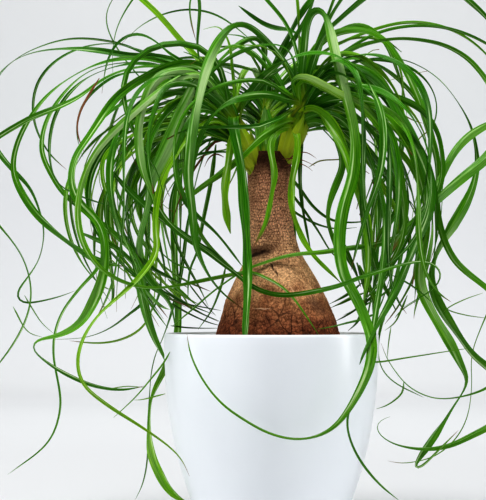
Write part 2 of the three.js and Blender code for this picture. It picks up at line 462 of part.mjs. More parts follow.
    [-24, 333, 46], [-50, 320, 52], [-71, 292, 54], [-80, 263, 54], [-77, 236, 52], [-67, 214, 50],
    [-57, 196, 48], [-50, 181, 46],
  ]],
  [0, 0.35, 4.5, 0.25, [20, 20, 10], [
    [-46, 322, 14], [-78, 315, 22], [-102, 292, 26], [-112, 266, 27], [-107, 240, 26],
    [-90, 217, 24], [-69, 202, 22], [-48, 193, 20],
  ]],
  [2, 0.6, 3.4, 0.25, [30, 20, 20], [
    [-30, 347, 62], [-70, 342, 72], [-103, 302, 78], [-115, 258, 76], [-108, 225, 70],
    [-91, 200, 62], [-68, 184, 52], [-46, 175, 44],
  ]],
  [2, 0.45, 3.4, 0.25, [30, 20, 20], [
    [-26, 337, 66], [-58, 328, 80], [-87, 297, 90], [-99, 252, 92], [-94, 215, 84], [-78, 192, 72],
    [-58, 177, 58], [-42, 169, 50],
  ]],
  [0, 1, 4.9, 0.3, [20, 10], [
    [-24, 346, -16], [-12, 358, -18], [3, 368, -17], [17, 376, -14],
  ]],
];

// Leaves placed by rule among them: how many are tried on each head, and the seed of their draws.
const RULE_LEAVES = [15, 16, 20];
const RULE_TRIES = 120;
const RULE_STEPS = 22;
const BACK_REACH = 0.14;
const SEED = 20260731;

// Small vector helpers
const vec = (p) => new THREE.Vector3(...p);
const mix = (a, b, t) => a.clone().lerp(b, t);
const along = (a, b, k) => a.clone().addScaledVector(b, k);
const less = (a, b) => a.clone().sub(b);
const cross = (a, b) => new THREE.Vector3().crossVectors(a, b);
const radians = THREE.MathUtils.degToRad;

// Value of a column of rows at a height, in straight steps between the rows.
function between(rows, at, column) {
  if (at <= rows[0][0]) return rows[0][column];
  for (let i = 1; i < rows.length; i++) {
    const [a, b] = [rows[i - 1], rows[i]];
    if (at <= b[0]) return a[column] + ((b[column] - a[column]) * (at - a[0])) / (b[0] - a[0]);
  }
  return rows.at(-1)[column];
}

// Value at share t of a list whose values are spread evenly, eased between them.
function spread(values, t) {
  if (values.length === 1) return values[0];
  const k = t * (values.length - 1);
  const i = Math.min(Math.floor(k), values.length - 2);
  const f = k - i;
  return values[i] + (values[i + 1] - values[i]) * f * f * (3 - 2 * f);
}

// Seeded draws: a linear congruential generator.
class Draws {
  constructor(seed) {
    this.state = seed;
  }

  next() {
    this.state = (this.state * 1664525 + 1013904223) % 4294967296;
    return this.state / 4294967296;
  }

  span(low, high) {
    return low + (high - low) * this.next();
  }
}

// Point read at x, z in the plane of the axis, moved along the line of sight to a depth.
function place(x, z, depth) {
  const k = (depth - EYE[1]) / -EYE[1];
  return new THREE.Vector3(EYE[0] + (x - EYE[0]) * k, depth, EYE[2] + (z - EYE[2]) * k);
}

// Where a point shows in the plane of the axis, seen from the eye.
function seen(p) {
  const k = -EYE[1] / (p.y - EYE[1]);
  return [EYE[0] + (p.x - EYE[0]) * k, EYE[2] + (p.z - EYE[2]) * k];
}

// Centripetal Catmull-Rom curve through the points.
function curve(points) {
  const p = [
    along(points[0], less(points[1], points[0]), -1),
    ...points,
    along(points.at(-1), less(points.at(-1), points.at(-2)), 1),
  ];
  const dense = [];
  for (let i = 1; i < p.length - 2; i++) {
    const [a, b, c, d] = [p[i - 1], p[i], p[i + 1], p[i + 2]];
    const t1 = Math.sqrt(less(b, a).length());
    const t2 = t1 + Math.sqrt(less(c, b).length());
    const t3 = t2 + Math.sqrt(less(d, c).length());
    const n = Math.max(3, Math.ceil(less(c, b).length() / 2.5));
    for (let j = 0; j < n; j++) {
      const t = t1 + ((t2 - t1) * j) / n;
      const a1 = mix(a, b, t / t1);
      const a2 = mix(b, c, (t - t1) / (t2 - t1));
      const a3 = mix(c, d, (t - t2) / (t3 - t2));
      const b1 = mix(a1, a2, t / t2);
      const b2 = mix(a2, a3, (t - t1) / (t3 - t1));
      dense.push(mix(b1, b2, (t - t1) / (t2 - t1)));
    }
  }
  dense.push(points.at(-1));
  return dense;
}

// The same line with its points an even step apart.
function even(dense, step) {
  const run = [0];
  for (let i = 1; i < dense.length; i++) run.push(run[i - 1] + less(dense[i], dense[i - 1]).length());
  const length = run.at(-1);
  const n = Math.max(8, Math.ceil(length / step));
  const out = [];
  let k = 0;
  for (let i = 0; i <= n; i++) {
    const s = (length * i) / n;
    while (k < run.length - 2 && run[k + 1] < s) k++;
    const f = (s - run[k]) / Math.max(run[k + 1] - run[k], 1e-9);
    out.push(mix(dense[k], dense[k + 1], f));
  }
  return out;
}

function soften(points, times) {
  let line = points;
  for (let pass = 0; pass < times; pass++) {
    const now = line;
    line = now.map((p, i) =>
      i === 0 || i === now.length - 1 ? p : mix(p, mix(now[i - 1], now[i + 1], 0.5), 0.5),
    );
  }
  return line;
}

// Tangent and side vector at each point. The face is turned by the given angles from the eye's
// plane, or from the level for a leaf placed by rule, and follows them without a jump.
function frames(points, turns, facing) {
  const last = points.length - 1;
  const tangents = points.map((_, i) =>
    less(points[Math.min(i + 1, last)], points[Math.max(i - 1, 0)]).normalize(),
  );
  const reference = facing ? new THREE.Vector3(0, 1, 0) : new THREE.Vector3(0, 0, 1);
  const sides = [];
  tangents.forEach((t, i) => {
    const level = cross(t, reference);
    const definite = level.length();
    const first = i === 0;
    let side = first ? null : along(sides[i - 1], t, -sides[i - 1].dot(t)).normalize();
    if (first || definite > 0.15) {
      if (definite > 1e-6) level.normalize();
      else level.set(1, 0, 0);
      const turn = radians(spread(turns, first ? 0 : i / last));
      const want = along(level.clone().multiplyScalar(Math.cos(turn)), cross(t, level), Math.sin(turn));
      if (first) {
        side = want;
      } else {
        if (want.dot(side) < 0) want.negate();
        const pull = 0.35 * Math.min(1, (definite - 0.15) / 0.35);
        side = mix(side, want, pull).normalize();
      }
    }
    sides.push(side);
  });
  return { tangents, sides };
}

// Width at share t of the length: flared at the root, even, then narrowing to the tip.
function breadth(width, tip, t) {
  if (t < TIP_START) return width * (1 + BASE_FLARE * Math.max(0, 1 - t / 0.08) ** 2);
  return width * (1 - (1 - tip) * ((t - TIP_START) / (1 - TIP_START)) ** TIP_POWER);
}

// Where the coarse blade's sections stand: closer together where it bends or twists.
function stations(line, tangents, sides) {
  const cost = [0];
  for (let i = 1; i < line.length; i++) {
    const bend = tangents[i].angleTo(tangents[i - 1]);
    const twist = sides[i].angleTo(sides[i - 1]);
    const length = less(line[i], line[i - 1]).length();
    cost.push(cost[i - 1] + length / SEGMENT_LENGTH + bend / SEGMENT_BEND + twist / SEGMENT_TWIST);
  }
  const count = Math.max(5, Math.round(cost.at(-1)));
  const picks = [];
  let k = 0;
  for (let j = 0; j <= count; j++) {
    const c = (cost.at(-1) * j) / count;
    while (k < line.length - 2 && cost[k + 1] < c) k++;
    picks.push(k + (c - cost[k]) / Math.max(cost[k + 1] - cost[k], 1e-9));
  }
  return picks;
}

// Corners of a section: the edges of the flat face and the keel.
function corners({ point, tangent, side, width }) {
  const up = cross(side, tangent);
  const keel = KEEL_BASE + KEEL_SHARE * width;
  return [along(point, side, -width / 2), along(point, side, width / 2), along(point, up, -keel)];
}

// Whether a corner of the later section would lie behind the same corner of the earlier one.
function fallsBack(earlier, later) {
  const ahead = earlier.tangent.clone().add(later.tangent);
  const from = corners(earlier);
  return corners(later).some((corner, i) => less(corner, from[i]).dot(ahead) < LEAST_ADVANCE);
}

// Sections of a coarse blade along the route through the points.
function blade(points, turns, facing, width, tip) {
  const line = soften(even(curve(points), STEP), 3);
  const { tangents, sides } = frames(line, turns, facing);
  const rows = stations(line, tangents, sides).map((k) => {
    const i = Math.min(Math.floor(k), line.length - 2);
    const f = k - i;
    const tangent = mix(tangents[i], tangents[i + 1], f).normalize();
    const side = mix(sides[i], sides[i + 1], f).normalize();
    side.addScaledVector(tangent, -side.dot(tangent)).normalize();
    const point = mix(line[i], line[i + 1], f);
    return { point, tangent, side, width: breadth(width, tip, k / (line.length - 1)) };
  });
  return rows.reduce((kept, row) => {
    if (kept.length > 1 && fallsBack(kept.at(-1), row)) kept.pop();
    if (kept.length === 0 || !fallsBack(kept.at(-1), row)) kept.push(row);
    return kept;
  }, []);
}

// Sample points spread over a coarse blade.
function cloud(rows) {
  const out = [];
  for (let i = 1; i < rows.length; i++) {
    const [a, b] = [rows[i - 1], rows[i]];
    const n = Math.max(1, Math.ceil(less(b.point, a.point).length() / 3.5));
    for (let j = 0; j < n; j++) {
      const point = mix(a.point, b.point, j / n);
      const side = mix(a.side, b.side, j / n);
      const width = a.width + ((b.width - a.width) * j) / n;
      const across = width > 4 ? 3 : 2;
      for (let c = 0; c <= across; c++) out.push(along(point, side, width * (c / across - 0.5)));
    }
  }
  out.push(rows.at(-1).point);
  return out;
}

// Samples of the blades placed so far, by cell of a grid.
class Space {
  cells = new Map();

  static cellOf(p) {
    return [Math.floor(p.x / CELL), Math.floor(p.y / CELL), Math.floor(p.z / CELL)];
  }

  add(points, head) {
    for (const p of points) {
      const key = Space.cellOf(p).join();
      if (!this.cells.has(key)) this.cells.set(key, []);
      this.cells.get(key).push([p, head]);
    }
  }

  // Whether a sample comes too near a blade of another head.
  meets(points, head) {
    return points.some((p) => {
      const [i, j, k] = Space.cellOf(p);
      for (let x = i - 1; x <= i + 1; x++) {
        for (let y = j - 1; y <= j + 1; y++) {
          for (let z = k - 1; z <= k + 1; z++) {
            const cell = this.cells.get([x, y, z].join()) ?? [];
            if (cell.some(([q, h]) => h !== head && p.distanceToSquared(q) < CLEAR * CLEAR)) return true;
          }
        }
      }
      return false;
    });
  }
}

function potRadius(z) {
  return POT_RIM - POT_TAPER * (Math.max(0, POT_HEIGHT - z) / POT_HEIGHT) ** POT_POWER;
}

// Whether a sample comes too near the stem, the pot, the soil, the ground or another head's stem.
function meetsSolid(points, head) {
  return points.some((p) => {
    if (p.z < 284 && Math.hypot(p.x - between(TRUNK, p.z, 2), p.y) < between(TRUNK, p.z, 1) + TRUNK_CLEAR)
      return true;
    if (p.z < POT_HEIGHT + POT_CLEAR) {
      const radius = Math.hypot(p.x, p.y);
      const outside = potRadius(p.z);
      const inside = outside - POT_WALL - POT_CLEAR;
      if (radius > inside && radius < outside + POT_CLEAR) return true;
      if (radius <= inside && p.z < SOIL_TOP + POT_CLEAR) return true;
    }
    if (p.z < LOWEST) return true;
    return HEADS.some(({ foot, top, radii }, other) => {
      if (other === head) return false;
      const axis = less(vec(top), vec(foot));
      const t = Math.max(0, Math.min(1, less(p, vec(foot)).dot(axis) / axis.lengthSq()));
      const radius = radii[0] + (radii[1] - radii[0]) * t;
      return p.distanceTo(mix(vec(foot), vec(top), t)) < radius + CORE_CLEAR;
    });
  });
}

function onStem(head, h) {
  return mix(vec(HEADS[head].foot), vec(HEADS[head].top), Math.max(0, h));
}

// Inner end of a leaf, and the point where it leaves the stem: each leaf has its own side of it.
function root(head, h, number) {
  const angle = number * GOLDEN_ANGLE;
  const aside = vec([ROOT_ASIDE * Math.cos(angle), ROOT_ASIDE * Math.sin(angle), 0]);
  return [onStem(head, h - ROOT_DEPTH).add(aside), onStem(head, h).add(aside)];
}

// Leaf of the list, bent in depth by the first shift that leaves it clear.
function listedLeaf([head, h, width, tip, turns, points], number, space) {
  let first = null;
  for (const shift of SHIFTS) {
    const route = root(head, h, number);
    points.forEach(([x, z, depth], i) => route.push(place(x, z, depth + shift * Math.min(1, (i + 1) / 4))));
    const rows = blade(route, turns, true, width, tip);
    const samples = cloud(rows);
    if (!space.meets(samples, head) && !meetsSolid(samples, head)) return rows;
    first ??= rows;
  }
  return first;
}

// Clear air that the listed leaves leave open: before the stem, beside it, and beyond the mop.
function inClearAir(p) {
  const [x, z] = seen(p);
  if (p.y < 12 && x > -52 && x < 58 && z < 322) return true;
  if (p.y >= 12 && x > 20 && x < 58 && z > 160 && z < 305) return true;
  if (p.y >= 12 && x > -52 && x < -22 && z > 205 && z < 290) return true;
  return z > 408 || z < 168 || x < -172 || x > 146;
}

// Leaf placed by rule: it rises, arches over, hangs and turns inwards, and is drawn again until clear.
function ruleLeaf(head, i, count, draws, space) {
  for (let attempt = 0; attempt < RULE_TRIES; attempt++) {
    const azimuth = i * GOLDEN_ANGLE + head * 1.1 + draws.span(-0.5, 0.5) + attempt * 0.9;
    const age = (i + 0.5) / count;
    const rise = radians(82 - 66 * age + draws.span(-8, 8));
    const length = draws.span(250, 400) - 30 * age;
    const hang = radians(draws.span(110, 185));
    const drop = radians(draws.span(56, 86));
    const over = draws.span(0.4, 0.55) + BACK_REACH * Math.max(0, Math.sin(azimuth));
    const curl = draws.span(-2.2, 2.2);
    const flick = draws.span(-1.6, 1.2);
    const width = draws.span(3.4, 7.4);
    const turnRoot = draws.span(-30, 30);
    const turnTip = draws.span(-60, 60);
    const h = 1 - 0.8 * age;
    const points = root(head, h, i + attempt);
    for (let k = 1; k <= RULE_STEPS; k++) {
      const t = k / RULE_STEPS;
      let slope = rise - ((rise + drop) * t) / over;
      if (t >= over) slope = -drop - ((hang - drop) * (t - over)) / (1 - over);
      if (t > 0.8 && flick > 0) slope += (flick * (t - 0.8)) / 0.2;
      const heading = azimuth + curl * (0.25 * t + Math.max(0, t - 0.35) * 0.9);
      const level = Math.cos(slope);
      const ahead = vec([level * Math.cos(heading), level * Math.sin(heading), Math.sin(slope)]);
      points.push(along(points.at(-1), ahead, length / RULE_STEPS));
    }
    const turns = [turnRoot, turnRoot / 2, turnTip / 2, turnTip];
    const rows = blade(points, turns, false, width, 0.15);
    const samples = cloud(rows);
    if (samples.some((p, n) => n >= 60 && n % 6 === 0 && inClearAir(p))) continue;
    if (!meetsSolid(samples, head) && !space.meets(samples, head)) return rows;
  }
  return null;
}

// Sections of every blade, head by head.
function allBlades() {
  const space = new Space();
  const heads = HEADS.map(() => []);
  const keep = (rows, head) => {
    heads[head].push(rows);
    space.add(cloud(rows), head);
  };
  LEAVES.forEach((leaf, number) => keep(listedLeaf(leaf, number, space), leaf[0]));
  const draws = new Draws(SEED);
  for (let i = 0; i < Math.max(...RULE_LEAVES); i++) {
    RULE_LEAVES.forEach((count, head) => {
      const rows = i < count ? ruleLeaf(head, i, count, draws, space) : null;
      if (rows) keep(rows, head);
    });
  }
  return heads;
}

// Closed geometry as a solid, ready to be joined and cut.
function solidOf(geometry) {
  const bare = new THREE.BufferGeometry();
  bare.setAttribute("position", geometry.getAttribute("position"));
  if (geometry.index) bare.setIndex(geometry.index);
  const merged = mergeVertices(bare, 1e-4);
  const vertProperties = new Float32Array(merged.attributes.position.array);
  const triVerts = new Uint32Array(merged.index.array);
  return new wasm.Manifold(new wasm.Mesh({ numProp: 3, vertProperties, triVerts }));
}

function geometryOf(solid) {
  const { vertProperties, triVerts } = solid.getMesh();
  const geometry = new THREE.BufferGeometry();
  geometry.setAttribute("position", new THREE.BufferAttribute(vertProperties, 3));
  geometry.setIndex(new THREE.BufferAttribute(triVerts, 1));
  geometry.computeVertexNormals();
  return geometry;
}

function largest(solid) {
  return solid.decompose().reduce((a, b) => (a.volume() > b.volume() ? a : b));
}

// Blade as one closed three-sided body through its sections.
function bladeSolid(rows) {
  const index = [0, 2, 1];
  for (let row = 0; row < rows.length - 1; row++) {
    const [left, right, keel] = [0, 1, 2].map((i) => row * 3 + i);
    index.push(left, right, right + 3, left, right + 3, left + 3);
    index.push(right, keel, right + 3, keel, keel + 3, right + 3);
    index.push(keel, left, keel + 3, left, left + 3, keel + 3);
  }
  const end = (rows.length - 1) * 3;
  index.push(end, end + 1, end + 2);
  return solidOf(new THREE.BufferGeometry().setFromPoints(rows.flatMap(corners)).setIndex(index));
}

// The flat face of a blade points up over its first part.
function faceUp(rows) {
  const start = rows.slice(0, Math.ceil(rows.length * 0.4));
  const rise = start.reduce((sum, { side, tangent }) => sum + cross(side, tangent).z, 0);
  return rise < 0 ? rows.map((row) => ({ ...row, side: row.side.clone().negate() })) : rows;
}

// Short stem of a head, with a rounded top.
function headStem({ foot, top, radii }) {
  const axis = less(vec(top), vec(foot));
  const length = axis.length();
  const [low, high] = radii;
  const outline = [[0, 0], [low, 0], [high, length], [high * 0.75, length + high * 0.6], [0, length + high]];
  const points = outline.map(([r, y]) => new THREE.Vector2(r, y));
  const geometry = new THREE.LatheGeometry(points, CORE_SIDES);
  const turn = new THREE.Quaternion().setFromUnitVectors(new THREE.Vector3(0, 1, 0), axis.normalize());
  geometry.applyQuaternion(turn).translate(...foot);
  return solidOf(geometry);
}

function leafHead(head, blades, stemCut) {
  const joined = wasm.Manifold.union([headStem(head), ...blades.map((rows) => bladeSolid(faceUp(rows)))]);
  return geometryOf(largest(joined.subtract(stemCut)).simplify(CLEAN));
}

// Stem as stacked rings, each a little out of round, grown outwards by a margin.
function trunk(margin) {
  const positions = [];
  TRUNK.forEach(([z, radius, middle], level) => {
    const end = level === 0 ? -margin : level === TRUNK.length - 1 ? margin : 0;
    for (let i = 0; i < TRUNK_SIDES; i++) {
      const angle = (2 * Math.PI * i) / TRUNK_SIDES;
      const lobe = 1 + TRUNK_LOBES * Math.cos(3 * angle + z / 60);
      const r = radius * lobe + margin;
      positions.push(middle + r * Math.cos(angle), r * Math.sin(angle), z + end);
    }
  });
  const [low, high] = [TRUNK[0], TRUNK.at(-1)];
  positions.push(low[2], 0, low[0] - margin, high[2], 0, high[0] + margin);
  const foot = TRUNK.length * TRUNK_SIDES;
  const index = [];
  for (let i = 0; i < TRUNK_SIDES; i++) {
    const next = (i + 1) % TRUNK_SIDES;
    index.push(foot, next, i);
    for (let level = 1; level < TRUNK.length; level++) {
      const [a, b] = [(level - 1) * TRUNK_SIDES + i, (level - 1) * TRUNK_SIDES + next];
      index.push(a, b, b + TRUNK_SIDES, a, b + TRUNK_SIDES, a + TRUNK_SIDES);
    }
    const ring = (TRUNK.length - 1) * TRUNK_SIDES;
    index.push(foot + 1, ring + i, ring + next);
  }
  const geometry = new THREE.BufferGeometry();
  geometry.setAttribute("position", new THREE.Float32BufferAttribute(positions, 3));
  geometry.setIndex(index);
  return geometry;
}

// Outline turned round the upright axis.
function turned(outline, sides) {
  const points = outline.map(([r, z]) => new THREE.Vector2(r, z));
  return new THREE.LatheGeometry(points, sides).rotateX(Math.PI / 2);
}

// Levels from low to high, count steps apart.
function levels(low, high, count) {
  return Array.from({ length: count + 1 }, (_, i) => low + ((high - low) * i) / count);
}

function pot() {
  const outer = levels(0, POT_HEIGHT - POT_LIP, POT_LEVELS).map((z) => [potRadius(z), z]);
  const inner = levels(POT_HEIGHT - POT_LIP, POT_FLOOR, POT_LEVELS).map((z) => [potRadius(z) - POT_WALL, z]);
  const rim = [
    [POT_RIM - POT_LIP / 2, POT_HEIGHT],
    [POT_RIM - POT_WALL + POT_LIP / 2, POT_HEIGHT],
  ];
  return turned([[0, 0], ...outer, ...rim, ...inner, [0, POT_FLOOR]], POT_SIDES);
}

function soil() {
  const low = POT_FLOOR + GAP;
  const inside = (z) => (potRadius(z) - POT_WALL) * Math.cos(Math.PI / POT_SIDES) - GAP;
  const side = levels(low, SOIL_TOP, POT_LEVELS).map((z) => [inside(z), z]);
  const disc = solidOf(turned([[0, low], ...side, [0, SOIL_TOP]], POT_SIDES));
  const depth = SOIL_TOP - TRUNK[0][0] + GAP;
  const hole = new THREE.CylinderGeometry(HOLE_RADIUS, HOLE_RADIUS, depth * 2, POT_SIDES);
  hole.rotateX(Math.PI / 2).translate(TRUNK[0][2], 0, SOIL_TOP);
  return geometryOf(disc.subtract(solidOf(hole)));
}

// Materials
const glaze = new THREE.MeshStandardMaterial({ color: 0xe6ebf2, roughness: 0.15, metalness: 0 });
const earth = new THREE.MeshStandardMaterial({ color: 0x2c2019, roughness: 1, metalness: 0 });
const cork = new THREE.MeshStandardMaterial({ color: 0x96643f, roughness: 0.9, metalness: 0 });
const green = new THREE.MeshStandardMaterial({ color: 0x3f7a1c, roughness: 0.45, metalness: 0 });

function piece(name, geometry, material) {
  const mesh = new THREE.Mesh(geometry, material);
  mesh.name = name;
  return mesh;
}

const palm = new THREE.Group();
palm.add(piece("pot", pot(), glaze));
palm.add(piece("soil", soil(), earth));
palm.add(piece("stem", trunk(0), cork));
const stemCut = solidOf(trunk(GAP));
allBlades().forEach((blades, i) => {
  palm.add(piece(HEADS[i].name, leafHead(HEADS[i], blades, stemCut), green));
});

export default palm;
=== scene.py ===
"""Potted ponytail palm: glossy white pot, crumbly soil, swollen corky stem and three heads of strap leaves.

Measures are in millimetres until a piece is made, and then in metres. +Z is up and the front is towards -Y.
"""

import math

import bmesh
import bpy
from mathutils import Matrix, Vector, noise


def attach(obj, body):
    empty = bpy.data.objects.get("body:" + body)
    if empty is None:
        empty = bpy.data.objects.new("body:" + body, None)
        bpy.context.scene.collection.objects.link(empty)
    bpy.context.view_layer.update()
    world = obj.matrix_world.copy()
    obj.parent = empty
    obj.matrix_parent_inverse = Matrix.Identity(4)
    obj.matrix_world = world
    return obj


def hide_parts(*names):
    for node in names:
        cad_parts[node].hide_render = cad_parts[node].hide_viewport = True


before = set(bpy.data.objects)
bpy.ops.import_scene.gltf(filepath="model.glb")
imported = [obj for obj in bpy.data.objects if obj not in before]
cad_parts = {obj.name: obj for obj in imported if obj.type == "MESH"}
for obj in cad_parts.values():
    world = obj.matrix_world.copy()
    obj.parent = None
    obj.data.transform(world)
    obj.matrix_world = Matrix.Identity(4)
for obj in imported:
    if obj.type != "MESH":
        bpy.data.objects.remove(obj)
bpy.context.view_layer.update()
MM = 0.001

# Pot and soil, as the solids have them
POT_HEIGHT = 160
POT_RIM = 85
POT_TAPER = 33.6
POT_POWER = 2.3
POT_WALL = 4
POT_FLOOR = 5
SOIL_TOP = 146

# Stem: height, radius and middle x at each level
TRUNK = [
    (110, 30, 6), (122, 42, 6), (134, 49, 6), (146, 52, 6), (160, 49, 6), (170, 46, 6),
    (186, 40.7, 5), (202, 32.9, 4.4), (214, 26, 3.7), (222, 21.8, 2.8), (226, 20.8, 2),
    (242, 18, 0.5), (266, 17, -1), (293, 18, -1.4), (300, 16.5, -2.5), (304, 12, -3),
]

# Heads: foot and top of the short stem that the leaves stand out of, and its radius at each
HEADS = [
    ("leaf_head_left", (-13, -5, 290), (-30, -12, 330), (6.5, 8)),
    ("leaf_head_right", (12, -3, 300), (26, -6, 344), (7, 8.5)),
    ("leaf_head_back", (-3, 9, 294), (-4, 31, 345), (6.5, 8.5)),
]
ROOT_DEPTH = 0.25
ROOT_ASIDE = 1.6
GOLDEN_ANGLE = 2.39996

# A leaf's line: the step that its curve is drawn in, the step that it is then cut in and the fewest steps
CURVE_STEP = 2.5
STEP = 4
LEAST_STEPS = 8

# How a leaf's face follows its turns: how far its line stands off the reference before it does, over what
# range it comes to do so in full, and how far it then goes from one point to the next
TURN_FROM = 0.15
TURN_RANGE = 0.35
TURN_PULL = 0.35

# Coarse blades, which settle where each leaf fits
KEEL_BASE = 0.7
KEEL_SHARE = 0.08
BASE_FLARE = 0.5
BASE_SHARE = 0.08
TIP_START = 0.45
TIP_POWER = 1.6
SEGMENT_LENGTH = 100
SEGMENT_BEND = 0.85
SEGMENT_TWIST = 1.1
LEAST_SEGMENTS = 5
LEAST_ADVANCE = 0.4
UPTURNED = 0.4

# Samples of a coarse blade: the step between them and the width above which there are more across it
SAMPLE_STEP = 3.5
WIDE = 4

# Clearance between blades of different heads, and from a blade to everything else
CLEAR = 4
CELL = 6
TRUNK_CLEAR = 1.6
TRUNK_CLEAR_TOP = 284
POT_CLEAR = 2
CORE_CLEAR = 1.2
LOWEST = 10

# Shifts in depth that are tried for a listed leaf, and over how many points a shift comes in
SHIFTS = [0, -4, 4, -8, 8, -12, 12, -16, 16, -20, 20, -25, 25, -30, 30]
SHIFT_POINTS = 4

# Clear air beside the stem, that the listed leaves leave open: depth, x and z from and to
CLEAR_AIR = [
    (-math.inf, 12, -52, 58, -math.inf, 322),
    (12, math.inf, 20, 58, 160, 305),
    (12, math.inf, -52, -22, 205, 290),
]
# How far the mop reaches: x and z from and to
MOP = (-172, 146, 168, 408)

# Leaves placed by rule among the listed ones: how many in each head, how often one is drawn again, its steps,
# its turn from head to head and from one try to the next, and its highest rise, which sinks as it is older
RULE_LEAVES = [15, 16, 20]
RULE_TRIES = 120
RULE_STEPS = 22
HEAD_TURN = 1.1
TRY_TURN = 0.9
RULE_RISE = 82
RISE_LOST = 66
LENGTH_LOST = 30
BACK_REACH = 0.14
RULE_TIP = 0.15
SEED = 20260731

# What is drawn for each of them, in this order and from and to which value
RULE = {
    "azimuth": (-0.5, 0.5), "rise": (-8, 8), "length": (250, 400), "hang": (110, 185), "drop": (56, 86),
    "over": (0.4, 0.55), "curl": (-2.2, 2.2), "flick": (-1.6, 1.2), "width": (3.4, 7.4),
    "root turn": (-30, 30), "tip turn": (-60, 60),
}

# Eye from which the leaves below are laid out: x and z are read in the plane of the axis,
# and the third number puts the point at that depth along the line of sight
EYE = (-22.5, -1400, 183)

